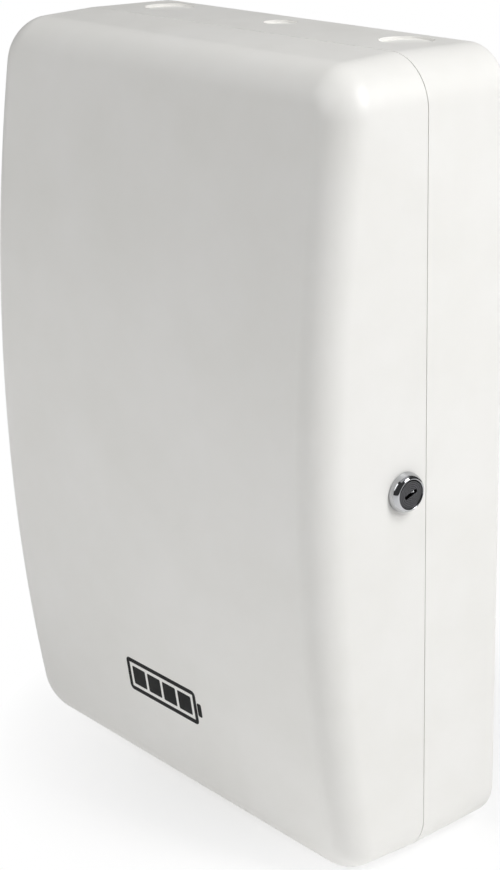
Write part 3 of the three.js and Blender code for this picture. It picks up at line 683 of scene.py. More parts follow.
def coverSkin():
    shape = caseShape
    rim = seam - shape["openLine"]
    endFace = frontFace + shape["frontBow"]  # how far forward the front is at its two ends
    skin = roundedPlate("coverShell", rim)
    reach = halfHeight - shape["cornerRadius"]
    inEdit(skin)
    sliceAt(reach * (2 * i / shape["levels"] - 1) for i in range(1, shape["levels"]))
    selectAll()
    wallDepth = rim - endFace - shape["frontFillet"]
    endInset = shape["coverDraft"] * (seam - endFace - shape["frontFillet"])
    stepIn(endInset, wallDepth)
    roundOver(shape["frontFillet"], shape["filletSegments"])
    outOfEdit()
    for vert in skin.data.vertices:
        if vert.co.y > rim - mm(0.1):
            continue
        bow = bowedFront(vert.co.z) - endFace
        shoulder = bowedFront(vert.co.z) + shape["frontFillet"]
        inset = shape["coverDraft"] * (seam - shoulder)
        vert.co.y += bow
        vert.co.x *= (halfWidth - inset) / (halfWidth - endInset)
    modify(skin, "SOLIDIFY", thickness=shape["wall"], offset=-1, use_even_offset=True, use_rim=True)
    return skin


def lockHole():
    centre = Vector(joints["lock_turn"]["pos_m"])
    along = Vector(joints["lock_turn"]["axis"])
    return rod("lockHole", mm(6.3), centre - along * mm(8), centre + along * mm(4), 48)


# spans of the barrels along each pin; the pin's foot and head stand out beyond them
hinge = {
    "pins": ("hinge_pin_upper", "hinge_pin_lower"), "radius": mm(4.5), "bore": mm(2.3), "foot": mm(1),
    "head": mm(2.1), "edge": mm(0.35), "coverSpans": [(-11, 11)], "boxSpans": [(11.3, 21), (-21, -11.3)],
}


def knuckles(spans, webFrom, webTo):
    # hinge barrels round the pins, each with a web that runs into the case wall
    made = []
    for pin in hinge["pins"]:
        low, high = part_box(pin)
        middle = (low.z + hinge["foot"] + high.z - hinge["head"]) / 2
        for start, end in spans:
            z0, z1 = middle + mm(start), middle + mm(end)
            barrel = rod("barrel", hinge["radius"], (hingeAxis.x, seam, z0), (hingeAxis.x, seam, z1), 48)
            web = block("web", (hingeAxis.x, webFrom, z0), (-halfWidth + mm(1.2), webTo, z1), 0)
            cutAway(barrel, web, how="UNION")
            start, end = (hingeAxis.x, seam, z0 - mm(1)), (hingeAxis.x, seam, z1 + mm(1))
            cutAway(barrel, rod("bore", hinge["bore"], start, end, 40))
            roundEdges(barrel, hinge["edge"], 2, 50)
            made.append(barrel)
    return made


ribs = {
    "thickness": mm(1.8), "height": mm(4), "upright": (-70, 0, 70), "level": (-96, -32, 32, 96),
    "tall": mm(150), "wide": mm(104), "cuts": 24, "taper": mm(12), "sunk": mm(0.6), "edge": 0.4,
}


def coverRibs():
    # a light grid of ribs that follows the bowed front inside
    made = []
    half = ribs["thickness"] / 2
    inner = caseShape["wall"] - ribs["sunk"]
    for x in ribs["upright"]:
        rib = block("rib", (mm(x) - half, 0, -ribs["tall"]), (mm(x) + half, mm(1), ribs["tall"]), 0)
        inEdit(rib, "VERT")
        sliceAt(ribs["tall"] * (2 * i / ribs["cuts"] - 1) for i in range(1, ribs["cuts"]))
        outOfEdit()
        for vert in rib.data.vertices:
            rise = ribs["height"] * min(1, (ribs["tall"] - abs(vert.co.z)) / ribs["taper"] + 0.15)
            vert.co.y = bowedFront(vert.co.z) + inner + (rise if vert.co.y > mm(0.5) else 0)
        roundEdges(rib, mm(ribs["edge"]), 2, 60)
        made.append(rib)
    for z in ribs["level"]:
        root = bowedFront(mm(z)) + inner
        low = (-ribs["wide"], root - mm(0.2), mm(z) - half)
        made.append(block("rib", low, (ribs["wide"], root + ribs["height"], mm(z) + half), ribs["edge"]))
    return made


tamperPost = {"radius": mm(4), "gap": mm(0.6), "sunk": mm(1), "web": mm(0.9), "reach": mm(8), "rise": mm(16)}


def makeCover():
    shell = coverSkin()
    cutAway(shell, lockHole())
    roundEdges(shell, caseShape["edge"], 3, 60)
    rim = seam - caseShape["openLine"]
    parts = [shell, *knuckles(hinge["coverSpans"], rim, seam - hinge["radius"])]
    # the post that presses the tamper plunger, on a foot of four crossed webs
    x, _, z = middleOf("tamper_plunger")
    post = tamperPost
    root = bowedFront(z) + caseShape["wall"]
    foot = root - post["sunk"]
    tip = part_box("tamper_plunger")[0].y - post["gap"]
    parts.append(rod("tamperPost", post["radius"], (x, foot, z), (x, tip, z), 32, 0.6))
    for i in range(4):
        low = (x - post["web"], foot, z - post["reach"])
        web = block("postWeb", low, (x + post["web"], root + post["rise"], z + post["reach"]), 0.3)
        turn = Matrix.Rotation(i * math.pi / 4, 4, "Y")
        web.data.transform(
            Matrix.Translation((x, 0, z)) @ turn @ Matrix.Translation((-x, 0, -z))
        )
        parts.append(web)
    complete(joinAll("coverShell", parts + coverRibs()), caseAbs, "cover", ["front_cover"], 40)


def baseSkin():
    shape = caseShape
    skin = roundedPlate("baseShell", seam, facing=1)
    inEdit(skin)
    selectAll()
    depth = -seam - shape["backRound"]
    stepIn(shape["baseDraft"] * depth, depth)
    roundOver(shape["backRound"], 5)
    outOfEdit()
    modify(skin, "SOLIDIFY", thickness=shape["wall"], offset=-1, use_even_offset=True, use_rim=True)
    return skin


rimShape = {"forward": mm(2.2), "inset": mm(3.4), "thickness": mm(1.6), "depth": mm(7), "edge": mm(0.3)}


def rimLip():
    # the lip that the cover closes over
    lip = roundedPlate("rimLip", seam - rimShape["forward"], rimShape["inset"])
    inEdit(lip)
    selectAll()
    stepIn(rimShape["thickness"], 0)
    bpy.ops.mesh.delete(type="FACE")
    outOfEdit()
    modify(lip, "SOLIDIFY", thickness=rimShape["depth"], offset=-1, use_rim=True)
    roundEdges(lip, rimShape["edge"], 2, 60)
    return lip


knockout = {"depth": mm(1.5), "backset": mm(19.5), "large": mm(12.5), "small": mm(8)}


def knockoutCutters():
    y = -knockout["backset"]
    surface = halfHeight - caseShape["baseDraft"] * (-seam - knockout["backset"])
    for mount in frame["record"]["mounts"]:
        if not mount["name"].startswith("knockout"):
            continue
        x, side = mount["pos_m"][0], mount["axis"][2]
        radius = knockout["large"] if abs(x) > mm(1) else knockout["small"]
        floor = side * (surface - knockout["depth"])
        yield rod("knockout", radius, (x, y, floor), (x, y, side * (surface + mm(5))), 64)


keyhole = {"x": mm(100), "z": mm(174), "head": mm(4.75), "neck": mm(2.6), "rise": mm(8)}
lowSlot = {"x": mm(108), "z": mm(-160), "radius": mm(2.6), "reach": mm(2.4)}
cableEntry = {"x": mm(-24), "z": mm(15), "width": mm(40), "height": mm(26), "corner": mm(5)}


def wallCutters():
    front, back = mm(-4.5), mm(1)
    for side in (-1, 1):
        x, z, top = side * keyhole["x"], keyhole["z"], keyhole["z"] + keyhole["rise"]
        yield rod("head", keyhole["head"], (x, front, z), (x, back, z), 40)
        yield block("neck", (x - keyhole["neck"], front, z), (x + keyhole["neck"], back, top), 0)
        yield rod("end", keyhole["neck"], (x, front, top), (x, back, top), 32)
        x, z = side * lowSlot["x"], lowSlot["z"]
        r, reach = lowSlot["radius"], lowSlot["reach"]
        yield block("slot", (x - r, front, z - reach), (x + r, back, z + reach), 0)
        yield rod("slotTop", r, (x, front, z + reach), (x, back, z + reach), 32)
        yield rod("slotLow", r, (x, front, z - reach), (x, back, z - reach), 32)
    half = Vector((cableEntry["width"] / 2, mm(12), cableEntry["height"] / 2))
    middle = Vector((cableEntry["x"], 0, cableEntry["z"]))
    yield block("window", middle - half, middle + half, cableEntry["corner"] * 1000, 8)


# what stands inside the box: the battery's shelf, the strap's posts and the strike's pad
inside = {
    "back": mm(-2), "shelfFront": mm(-42), "shelf": mm(3.7), "cheekFront": mm(-26), "cheek": mm(3),
    "cheekHeight": mm(34), "ribs": (-72, -36, 0, 36, 72), "ribHalf": mm(1.2), "ribFront": mm(-36),
    "post": mm(5), "postHole": mm(2.3), "padFront": mm(-42), "padBack": mm(-18), "padMargin": mm(2),
    "padHole": mm(1.9), "padHoleEnd": mm(125.5), "gap": mm(0.3),
}


def makeBase():
    shell = baseSkin()
    cutAway(shell, *knockoutCutters(), *wallCutters())
    roundEdges(shell, caseShape["edge"], 2, 60)
    parts = [shell, rimLip()]
    parts += knuckles(hinge["boxSpans"], seam + hinge["radius"], seam + mm(0.3))
    # the battery's shelf, with a cheek at each end and ribs under it
    back, gap = inside["back"], inside["gap"]
    low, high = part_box("battery_case")
    top = low.z - gap
    start = (low.x, inside["shelfFront"], top - inside["shelf"])
    parts.append(block("shelf", start, (high.x, back, top), 0.5))
    for x in (low.x - mm(4), high.x + mm(1)):
        end = (x + inside["cheek"], back, low.z + inside["cheekHeight"])
        parts.append(block("cheek", (x, inside["cheekFront"], low.z), end, 0.6))
    foot = (-inside["ribHalf"], inside["ribFront"], -halfHeight + mm(2))
    rib = block("shelfRib", foot, (inside["ribHalf"], back, top - mm(2)), 0.4)
    parts += copiesAt(rib, [Matrix.Translation(at(x, 0, 0)) for x in inside["ribs"]])
    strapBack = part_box("battery_strap")[1].y + gap
    for screw in ("strap_screw_left", "strap_screw_right"):
        x, _, z = middleOf(screw)
        post = rod("strapPost", inside["post"], (x, back, z), (x, strapBack, z), 40)
        cutAway(post, rod("postHole", inside["postHole"], (x, mm(-4), z), (x, mm(-12), z), 24))
        parts.append(post)
    # the pad on the side wall that carries the strike
    low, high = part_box("lock_strike")
    margin = inside["padMargin"]
    corner = (halfWidth - margin, inside["padBack"], high.z + margin)
    pad = block("strikePad", (high.x + gap, inside["padFront"], low.z - margin), corner, 0)
    for screw in ("strike_screw_lower", "strike_screw_upper"):
        _, y, z = middleOf(screw)
        start, end = (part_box(screw)[0].x, y, z), (inside["padHoleEnd"], y, z)
        cutAway(pad, rod("padHole", inside["padHole"], start, end, 24))
    roundEdges(pad, mm(0.4), 2, 60)
    parts.append(pad)
    complete(joinAll("baseShell", parts), caseAbs, "base", ["back_box"], 40)


makeCover()
makeBase()
print("case mouldings made")

# the sign printed low on the front
pictogram = {
    "middle": at(-2.5, 0, -131), "width": mm(56), "height": mm(19), "line": mm(2.4), "corner": mm(2.6),
    "nub": (mm(3.2), mm(7.5)), "cells": 4, "cellGap": mm(1.9), "proud": mm(0.05), "thickness": mm(0.09),
}


def printedPatch(low, high, corner, line=0):
    # a patch of ink on the bowed front, or only its outline
    middle, size = (low + high) / 2, high - low
    pickNone()
    bpy.ops.mesh.primitive_plane_add(size=1, location=middle, rotation=(math.pi / 2, 0, 0))
    patch = bpy.context.object
    patch.scale = (size.x, size.z, 1)
    settle(patch)
    inEdit(patch, "VERT")
    selectAll()
    bpy.ops.mesh.bevel(offset=corner, offset_type="OFFSET", segments=6, affect="VERTICES")
    bpy.ops.mesh.select_mode(type="FACE")
    selectAll()
    if line:
        stepIn(line, 0)
        bpy.ops.mesh.delete(type="FACE")
    rows = int(size.z / mm(1.5))
    sliceAt(low.z + size.z * i / rows for i in range(1, rows))
    outOfEdit()
    for vert in patch.data.vertices:
        vert.co.y = bowedFront(vert.co.z) - pictogram["proud"]
    modify(patch, "SOLIDIFY", thickness=pictogram["thickness"], offset=-1, use_even_offset=True)
    return patch


def makePrint():
    # a plain battery sign: an outline with its cells
    mark = pictogram
    half = Vector((mark["width"] / 2, 0, mark["height"] / 2))
    low, high = mark["middle"] - half, mark["middle"] + half
    parts = [printedPatch(low, high, mark["corner"], mark["line"])]
    nub, tall = mark["nub"]
    start = Vector((high.x + mm(0.5), 0, mark["middle"].z - tall / 2))
    parts.append(printedPatch(start, start + Vector((nub, 0, tall)), mm(1)))
    inner = mark["line"] + mark["cellGap"]
    run = mark["width"] - 2 * inner
    pitch = (run + mark["cellGap"]) / mark["cells"]
    for i in range(mark["cells"]):
        left = low.x + inner + i * pitch
        parts.append(printedPatch(
            Vector((left, 0, low.z + inner)),
            Vector((left + pitch - mark["cellGap"], 0, high.z - inner)), mm(0.7),
        ))
    complete(joinAll("frontPictogram", parts), printInk, "cover", slot="terminal_black")


makePrint()

# the cam lock in the cover's side; profiles are (radius, distance out of the wall)
lockTurn = joints["lock_turn"]
lockFrame = aim(Vector(lockTurn["pos_m"]), lockTurn["axis"])
lockShape = {
    "dome": [
        (9.3, 0.3), (9.3, 0.85), (9.22, 1.2), (9.1, 1.75), (8.92, 2.4), (8.65, 3.05), (8.3, 3.65),
        (7.95, 4.12), (7.6, 4.45), (7.3, 4.62), (7.1, 4.66), (6.95, 4.6), (6.86, 4.4), (6.86, 3), (4.6, 3),
    ],
    "barrel": 6, "bore": 4.6, "length": 20, "pitch": 1.0, "face": 6.78,
    "keyway": (7.2, 1.8, 5.0), "keyTilt": 0.35, "shutter": (2.4, 1.5, 1.4),
}


def makeLockHousing():
    shape = lockShape
    thread = []
    for i in range(int((shape["length"] - 4) / shape["pitch"])):
        height = 1 - shape["length"] + i * shape["pitch"]
        thread += [(shape["barrel"], height), (shape["barrel"] - 0.4, height + shape["pitch"] / 2)]
    profile = [
        (shape["bore"], -shape["length"]), (shape["barrel"] - 0.5, -shape["length"]), *thread,
        (shape["barrel"], -2), (shape["barrel"], 0.3), *shape["dome"],
    ]
    housing = lathe("lockHousing", profile, lockFrame, 96)
    complete(housing, chromeBright, "cover", ["lock_housing"], 50, "chrome")


def keywayFrame():
    # in the lock's face: X along the keyway, Y across it, Z out of the wall
    out = Vector(lockTurn["axis"]).normalized()
    level = Vector((0, 0, 1)).cross(out).normalized()
    along = Matrix.Rotation(lockShape["keyTilt"], 3, out) @ level
    across = out.cross(along)
    turn = Matrix((along, across, out)).transposed().to_4x4()
    return Matrix.Translation(Vector(lockTurn["pos_m"])) @ turn


def makeLockPlug():
    shape = lockShape
    body, face = shape["bore"] - 0.3, shape["face"]
    plug = lathe("lockPlug", [
        (0, -shape["length"] - 0.3), (body, -shape["length"] - 0.3), (body, 3.3), (face, 3.3),
        (face, 4.15), (face - 0.15, 4.3), (face - 0.7, 4.42), (face - 0.85, 4.3), (0, 4.3),
    ], lockFrame, 96)
    length, width, depth = shape["keyway"]
    slot = block("keyway", at(-length / 2, -width / 2, 4.3 - depth), at(length / 2, width / 2, 6), 0.5, 3)
    slot.data.transform(keywayFrame())
    hole = rod("screwHole", mm(1.7), at(0, 0, -shape["length"] - 1), at(0, 0, -shape["length"] + 6), 24)
    hole.data.transform(lockFrame)
    cutAway(plug, slot, hole)
    complete(plug, plugNickel, "lock", ["lock_plug"], 40, "dark_chrome")
    along, across, deep = shape["shutter"]
    shutter = block("keyShutter", at(-along / 2, -across / 2, -deep), at(along / 2, across / 2, 0), 0.3, 3)
    tilt = Matrix.Rotation(math.radians(24), 4, "X") @ Matrix.Rotation(math.radians(-20), 4, "Y")
    shutter.data.transform(keywayFrame() @ Matrix.Translation(at(1.1, 0, 3.8)) @ tilt)
    complete(shutter, chromeBright, "lock", angle=40, slot="chrome")


makeLockHousing()
makeLockPlug()
print("print and lock made")

# screws, by kind: head radius, head rise and shank radius in millimetres
screwKinds = [
    {"nodes": ["strike_screw_lower", "strike_screw_upper"], "towards": (-1, 0, 0), "head": 3, "rise": 2.1,
     "shank": 1.5},
    {"nodes": ["strap_screw_left", "strap_screw_right"], "towards": outward, "head": 4.6, "rise": 2.6,
     "shank": 2},
    {"nodes": [f"board_screw_{i}" for i in (1, 2, 3, 4)], "towards": outward, "head": 3, "rise": 2.1,
     "shank": 1.5},
]


def makeScrews():
    for kind in screwKinds:
        towards = Vector(kind["towards"])
        low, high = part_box(kind["nodes"][0])
        length = abs((high - low).dot(towards)) * 1000 - kind["rise"]
        places = []
        for name in kind["nodes"]:
            low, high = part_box(name)
            reach = abs((high - low).dot(towards)) / 2 - mm(kind["rise"])
            places.append(aim((low + high) / 2 + towards * reach, towards))
        shape = screwShape(kind["head"], kind["rise"], kind["shank"], length)
        for name, screw in zip(kind["nodes"], copiesAt(shape, places)):
            screw.name = name + "_finished"
            complete(screw, screwSteel, "base", [name], 40, "steel")
    camScrew = screwShape(3.8, 2.4, 1.6, 8.9)
    turnedIn = Matrix.Translation(at(0, 0, -lockShape["length"] - 2.9)) @ Matrix.Rotation(math.pi, 4, "X")
    camScrew.data.transform(lockFrame @ turnedIn)
    camScrew.name = "camScrew"
    complete(camScrew, screwSteel, "lock", ["lock_cam_screw"], 40, "steel")


makeScrews()

# wires, each from terminal to terminal; routes in millimetres
stripEntry = 62  # height at which wires enter the power supply's terminals
wires = {
    "battery_lead_red": {"radius": 1.7, "material": pvcRed, "route": [
        (66, -62, -1.1), (66, -58, 12), (67, -38, 22), (67.5, -21, 31), (67.5, -18.2, 42.9)]},
    "battery_lead_black": {"radius": 1.7, "material": pvcBlack, "route": [
        (-71, -62, -1.1), (-68, -60, 8), (-40, -56, 14), (8, -48, 15), (44, -34, 18), (58, -20.5, 30),
        (59.5, -18.2, 42.9)]},
    "mains_wire_live": {"radius": 1.4, "material": pvcBrown, "route": [
        (-111, -11.5, 38.3), (-111, -13, 45), (-109, -17, 52), (-107.4, -18, stripEntry)]},
    "mains_wire_neutral": {"radius": 1.4, "material": pvcBlue, "route": [
        (-93, -10, 34.3), (-93, -12, 41), (-96, -17, 51), (-97.8, -18, stripEntry)]},
    "mains_wire_earth": {"radius": 1.4, "material": pvcGreen, "stripe": True, "route": [
        (-82, -10, 34.3), (-82, -12, 41), (-86, -17, 51), (-88.2, -18, stripEntry)]},
    "dc_wire_positive": {"radius": 1.4, "material": pvcRed, "route": [
        (-40.2, -18, stripEntry), (-40.2, -18, 50), (-33, -18, 37), (-8, -18, 30), (14, -18, 33),
        (19, -17.9, 43.2)]},
    "dc_wire_negative": {"radius": 1.4, "material": pvcBlack, "route": [
        (-30.6, -18, stripEntry), (-30.6, -18, 50), (-24, -18, 41), (-10, -18, 36.5), (5, -18, 38),
        (9, -17.9, 43.2)]},
}
wireSlots = {
    pvcRed: "red_plastic", pvcBlack: "black_insulation", pvcBrown: "brown_insulation",
    pvcBlue: "blue_insulation", pvcGreen: "earth_insulation",
}
tab = {"positive": 66, "negative": -71, "y": -62}  # where the battery's two tabs stand
bootOf = {"battery_lead_red": "positive", "battery_lead_black": "negative"}


def makeWires():
    for name, wire in wires.items():
        path = smoothPath([at(*point) for point in wire["route"]])
        piece = paint(tube(name + "_finished", path, mm(wire["radius"])), wire["material"])
        parts = [piece]
        if wire.get("stripe"):
            # the yellow stripe is extruded into the green insulation, a hair proud of it
            beside = [point + at(0, -0.6, 0) for point in path]
            parts.append(paint(tube("stripe", beside, mm(wire["radius"] - 0.54)), pvcYellow))
        if name in bootOf:
            x = tab[bootOf[name]]
            boot = block("boot", at(x - 4.6, -64.6, -13.1), at(x + 4.6, -59.4, -3.6), 1.1, 3)
            neck = block("neck", at(x - 2.9, -64.2, -4.4), at(x + 2.9, -59.8, -0.1), 1.0, 3)
            cutAway(boot, neck, how="UNION")
            cutAway(boot, block("slot", at(x - 3.6, -62.9, -14.1), at(x + 3.6, -61.1, -4.7), 0))
            parts.append(paint(boot, wire["material"]))
        else:
            # a crimped sleeve on the wire where it enters its terminal
            inSleeve = path[-3:] if wire["route"][-1][2] == stripEntry else path[:3]
            parts.append(paint(tube("sleeve", inSleeve, mm(wire["radius"] + 0.45)), lugVinyl))
        slot = wireSlots[wire["material"]]
        complete(joinAll(name + "_finished", parts), None, "base", [name], 50, slot)


makeWires()
print("screws and wires made")

# the battery's panel, vent plate, caps and terminal collars
battery = {
    "edge": 2.2, "panelInset": 9, "panelDepth": 0.7, "vent": ((-45.6, -51.6), (40.6, -30.4)),
    "caps": 6, "capRadius": 4.6, "collar": (6.6, 5.2, 1.6), "top": -15,
}


def makeBattery():
    low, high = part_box("battery_case")
    case = block("batteryCase", low, high, 0)
    selectFaces(case, lambda face: face.normal.y < -0.9)
    inEdit(case)
    stepIn(mm(battery["panelInset"]), 0)
    stepIn(mm(0.6), -mm(battery["panelDepth"]))
    outOfEdit()
    roundEdges(case, mm(battery["edge"]), 4, 60)
    complete(case, batteryAbs, "base", ["battery_case"], 40, "battery_case")
    refine("battery_lid", batteryLidAbs, 1.0, 3)
    (x0, y0), (x1, y1) = battery["vent"]
    top = battery["top"]
    plate = block("ventPlate", at(x0, y0, top - 1.15), at(x1, y1, top - 0.25), 0.3)
    pitch = (x1 - x0) / battery["caps"]
    parts = [plate]
    for i in range(battery["caps"]):
        x, y, r = x0 + (i + 0.5) * pitch, (y0 + y1) / 2, battery["capRadius"]
        parts.append(lathe("cap", [
            (0, -0.4), (r, -0.4), (r, 0.25), (r - 0.4, 0.5), (r - 1.1, 0.5), (r - 1.4, 0.15), (1.2, 0.15),
            (0.9, 0.4), (0, 0.4),
        ], Matrix.Translation(at(x, y, top - 0.4)), 36))
    complete(joinAll("ventPlate", parts), batteryLidAbs, slot="battery_lid")
    outer, inner, rise = battery["collar"]
    y = tab["y"]
    for name, material, slot in (
        ("positive", redPlastic, "red_plastic"), ("negative", batteryAbs, "battery_case"),
    ):
        x = tab[name]
        low, high = at(x - outer, y - outer, top), at(x + outer, y + outer, top + rise)
        collar = block(name + "Collar", low, high, 0.5)
        low, high = at(x - inner, y - inner, top - 1), at(x + inner, y + inner, top + 3)
        cutAway(collar, block("well", low, high, 0.4))
        complete(collar, material, slot=slot)
        sign = [block("bar", at(x - 3, -48.6, top - 0.1), at(x + 3, -47.2, top + 0.5), 0.2)]
        if name == "positive":
            sign.append(block("post", at(x - 0.7, -50.9, top - 0.1), at(x + 0.7, -44.9, top + 0.5), 0.2))
        complete(joinAll(name + "Sign", sign), batteryLidAbs, slot="battery_lid")
        refine("battery_terminal_" + name, tinnedBrass, 0.15)
    refine("battery_strap", zincSheet, 0.35)


makeBattery()

# the mains side and the power supply
strip = {"count": 9, "pitch": 9.6, "middle": -69, "z": 66.4, "seat": -15.6}
supply = {
    "board": -9.6, "cans": [(-103, 148, 7.5, 19), (-103, 128, 7.5, 19), (-36, 150, 5, 14), (-36, 136, 5, 14)],
    "mainsPoles": (-93, -82, -71), "tape": mm(2.9), "sides": ((-118, -1), (-20, 1)),
}


def canShape(radius, height, sleeve):
    # an electrolytic capacitor: a shrink sleeve over an aluminium can, with a scored vent and a pale stripe
    r, h = radius, height
    can = lathe("sleeve", [
        (0, 0), (r - 0.35, 0), (r - 0.1, 0.3), (r, 1.1), (r - 0.05, 1.9), (r - 0.6, 2.4),
        (r - 0.05, 2.9), (r, 3.6), (r, h - 0.7), (r - 0.2, h - 0.25), (r - 0.6, h), (r - 1.2, h),
        (r - 1.25, h - 0.3), (0, h - 0.3),
    ], steps=48)
    paint(can, sleeve)
    paint(can, stripeGrey, lambda face: face.normal.z < 0.3 and face.center.z > mm(0.5)
          and face.normal.y > 0.93 and face.center.xy.length > mm(r - 0.7))
    top = lathe("canTop", [(0, h - 0.5), (r - 1.2, h - 0.5), (r - 1.2, h - 0.12), (0, h - 0.12)], steps=48)
    for turn in (0, math.pi / 2):
        groove = block("score", at(-r * 0.62, -0.14, h - 0.3), at(r * 0.62, 0.14, h + 1), 0)
        groove.data.transform(Matrix.Rotation(turn + math.pi / 4, 4, "Z"))
        cutAway(top, groove)
    return joinAll("can", [can, paint(top, millAluminium)])


def makeSupply():
    refine("psu_chassis", millAluminium, 0.25)
    refine("psu_cover", millAluminium, 0.2)
    refine("psu_board", boardMask, 0.15)
    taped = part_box("psu_transformer")[0].y + supply["tape"]
    transformer = refine("psu_transformer", ferrite, 0.4)
    paint(transformer, polyesterTape, lambda face: face.center.y < taped)
    cans = []
    for x, z, radius, height in supply["cans"]:
        can = canShape(radius, height, sleevePvc)
        can.data.transform(aim(at(x, supply["board"], z), outward))
        cans.append(can)
    complete(joinAll("supplyCapacitors", cans), slot="capacitor_sleeve")
    refine("psu_terminal_strip", blackPolyamide, 0.25)
    refine("psu_terminal_guard", guardClear, 0.2)
    places = [
        at(strip["middle"] + (i - (strip["count"] - 1) / 2) * strip["pitch"], strip["seat"], strip["z"])
        for i in range(strip["count"])
    ]
    washer = block("washer", at(-3.5, -3.4, -0.8), at(3.5, 3.2, -0.1), 0.2)
    screw = screwShape(3.1, 1.9, 1.5, 1)
    clamp = joinAll("clamp", [paint(washer, tinnedBrass), paint(screw, screwSteel)])
    clamps = copiesAt(clamp, [aim(place, outward) for place in places])
    complete(joinAll("supplyTerminalScrews", clamps), slot="tinned_lead")
    refine("mains_terminal_block", naturalNylon, 0.4)
    mainsScrew = screwShape(2.4, 1.5, 1.2, 1.2)
    screws = copiesAt(mainsScrew, [aim(at(x, -13.1, 24), outward) for x in supply["mainsPoles"]])
    complete(joinAll("mainsTerminalScrews", screws), screwSteel, slot="steel")
    refine("mains_fuse_base", blackPolyamide, 0.4)
    refine("mains_fuse_carrier", blackPolyamide, 0.4)
    caseScrew = screwShape(2.3, 1.0, 1.2, 1.4)
    places = [aim(at(x, -27, z), (out, 0, 0)) for x, out in supply["sides"] for z in (84, 152)]
    complete(joinAll("supplyCaseScrews", copiesAt(caseScrew, places)), screwSteel, slot="steel")


makeSupply()
print("battery and power supply made")

# what stands on the charger board, as (x, z) places in millimetres
boardFace = -12.9
chargerParts = {
    "coil": {"centre": (40, -17.9, 118), "ring": 9, "loop": 4.35, "wire": 0.42, "turns": 26},
    "chips": [(58, 82, 10, 6, 8), (76, 84, 5, 4, 4), (66, 66, 5, 4, 4)],
    "chipPitch": 1.27,
    "resistors": [(46 + 4 * i, 74) for i in range(6)] + [(54 + 4 * i, 90) for i in range(6)]
    + [(84 + 4 * i, 116) for i in range(4)] + [(44, 66 + 4 * i) for i in range(2)]
    + [(88, 86 + 3 * i) for i in range(3)] + [(18 + 4 * i, 80) for i in range(4)],
    "diodes": [(66, 112), (66, 106), (66, 100)],
    "smallCans": [(92, 124), (100, 124), (108, 124)],
    "lamps": [(82, 62, "green"), (88, 62, "amber"), (94, 62, "red")],
    "frames": [(83.2, 97.2, 113.8, 111.8), (8.6, 86.8, 35.4, 97.2), (12.8, 138.8, 63.2, 161.2),
               (51.6, 77.6, 64.4, 86.4), (7.4, 105.2, 18.6, 124.8)],
    "filterCans": [(76, 150, 9, 30), (74, 128, 6.3, 20)],
    "rings": [(76, 150, 9.8), (74, 128, 7.1), (40, 118, 14.2)],
    "jointRow": (9, 19, 30.5, 35.5, 40.5, 45.5, 82.5, 87.5, 92.5, 97.5, 102.5),
    "frameLine": 0.25,
}


def onBoardFrame(x, z):
    # X and Y along the board, Z out of it
    return Matrix.Translation(at(x, boardFace, z)) @ Matrix.Rotation(math.pi / 2, 4, "X")


def chipShape(length, width, legs):
    # a moulded chip with bent tin-plated legs
    body = block("chipBody", at(-length / 2, -width / 2, 0.15), at(length / 2, width / 2, 1.7), 0.15)
    paint(body, chipEpoxy)
    corner = Matrix.Translation(at(-length / 2 + 1, -width / 2 + 1, 0))
    dot = paint(lathe("dot", [(0, 1.6), (0.45, 1.6), (0.45, 1.72), (0, 1.72)], corner, 16), stripeGrey)
    leg = block("leg", at(-0.2, 0, 0.7), at(0.2, 0.75, 0.9), 0.05)
    foot = block("foot", at(-0.2, 0.6, 0), at(0.2, 1.3, 0.2), 0.05)
    shin = block("shin", at(-0.2, 0.58, 0.05), at(0.2, 0.78, 0.9), 0.05)
    leg = joinAll("leg", [leg, foot, shin])
    pitch = chargerParts["chipPitch"]
    places = []
    for i in range(legs):
        x = (i - (legs - 1) / 2) * pitch
        places.append(Matrix.Translation(at(x, width / 2, 0)))
        places.append(Matrix.Translation(at(x, -width / 2, 0)) @ Matrix.Rotation(math.pi, 4, "Z"))
    made = [paint(each, tinnedBrass) for each in copiesAt(leg, places)]
    return joinAll("chip", [body, dot, *made])


def resistorShape():
    parts = [paint(block("chipResistor", at(-0.7, -0.62, 0), at(0.7, 0.62, 0.5), 0.06), chipEpoxy)]
    for x in (-1, 0.65):
        parts.append(paint(block("end", at(x, -0.64, 0), at(x + 0.35, 0.64, 0.53), 0.08), tinnedBrass))
    return joinAll("chipResistor", parts)


def diodeShape():
    along = Matrix.Translation(at(-2.6, 0, 1.8)) @ Matrix.Rotation(math.pi / 2, 4, "Y")
    body = paint(lathe("diode", [
        (0, 0), (1.1, 0), (1.35, 0.25), (1.35, 4.95), (1.1, 5.2), (0, 5.2)], along, 24), chipEpoxy)
    band = paint(lathe("band", [(1.2, 4), (1.38, 4), (1.38, 4.6), (1.2, 4.6)], along, 24), stripeGrey)
    lead = smoothPath([at(-6, 0, 0), at(-5.9, 0, 1.2), at(-5, 0, 1.8), at(0, 0, 1.8), at(5, 0, 1.8),
                       at(5.9, 0, 1.2), at(6, 0, 0)], 4)
    return joinAll("diode", [body, band, paint(tube("lead", lead, mm(0.35), 2), tinnedBrass)])


def smallCan():
    return canShape(2.6, 6.5, sleeveBlack)


def lampShape(material):
    lamp = lathe("lamp", [
        (0, 0.4), (1.9, 0.4), (1.9, 1.2), (1.5, 1.3), (1.5, 3.6), (1.4, 4.1), (1.12, 4.6),
        (0.65, 4.95), (0, 5.1),
    ], steps=28)
    return paint(lamp, material)


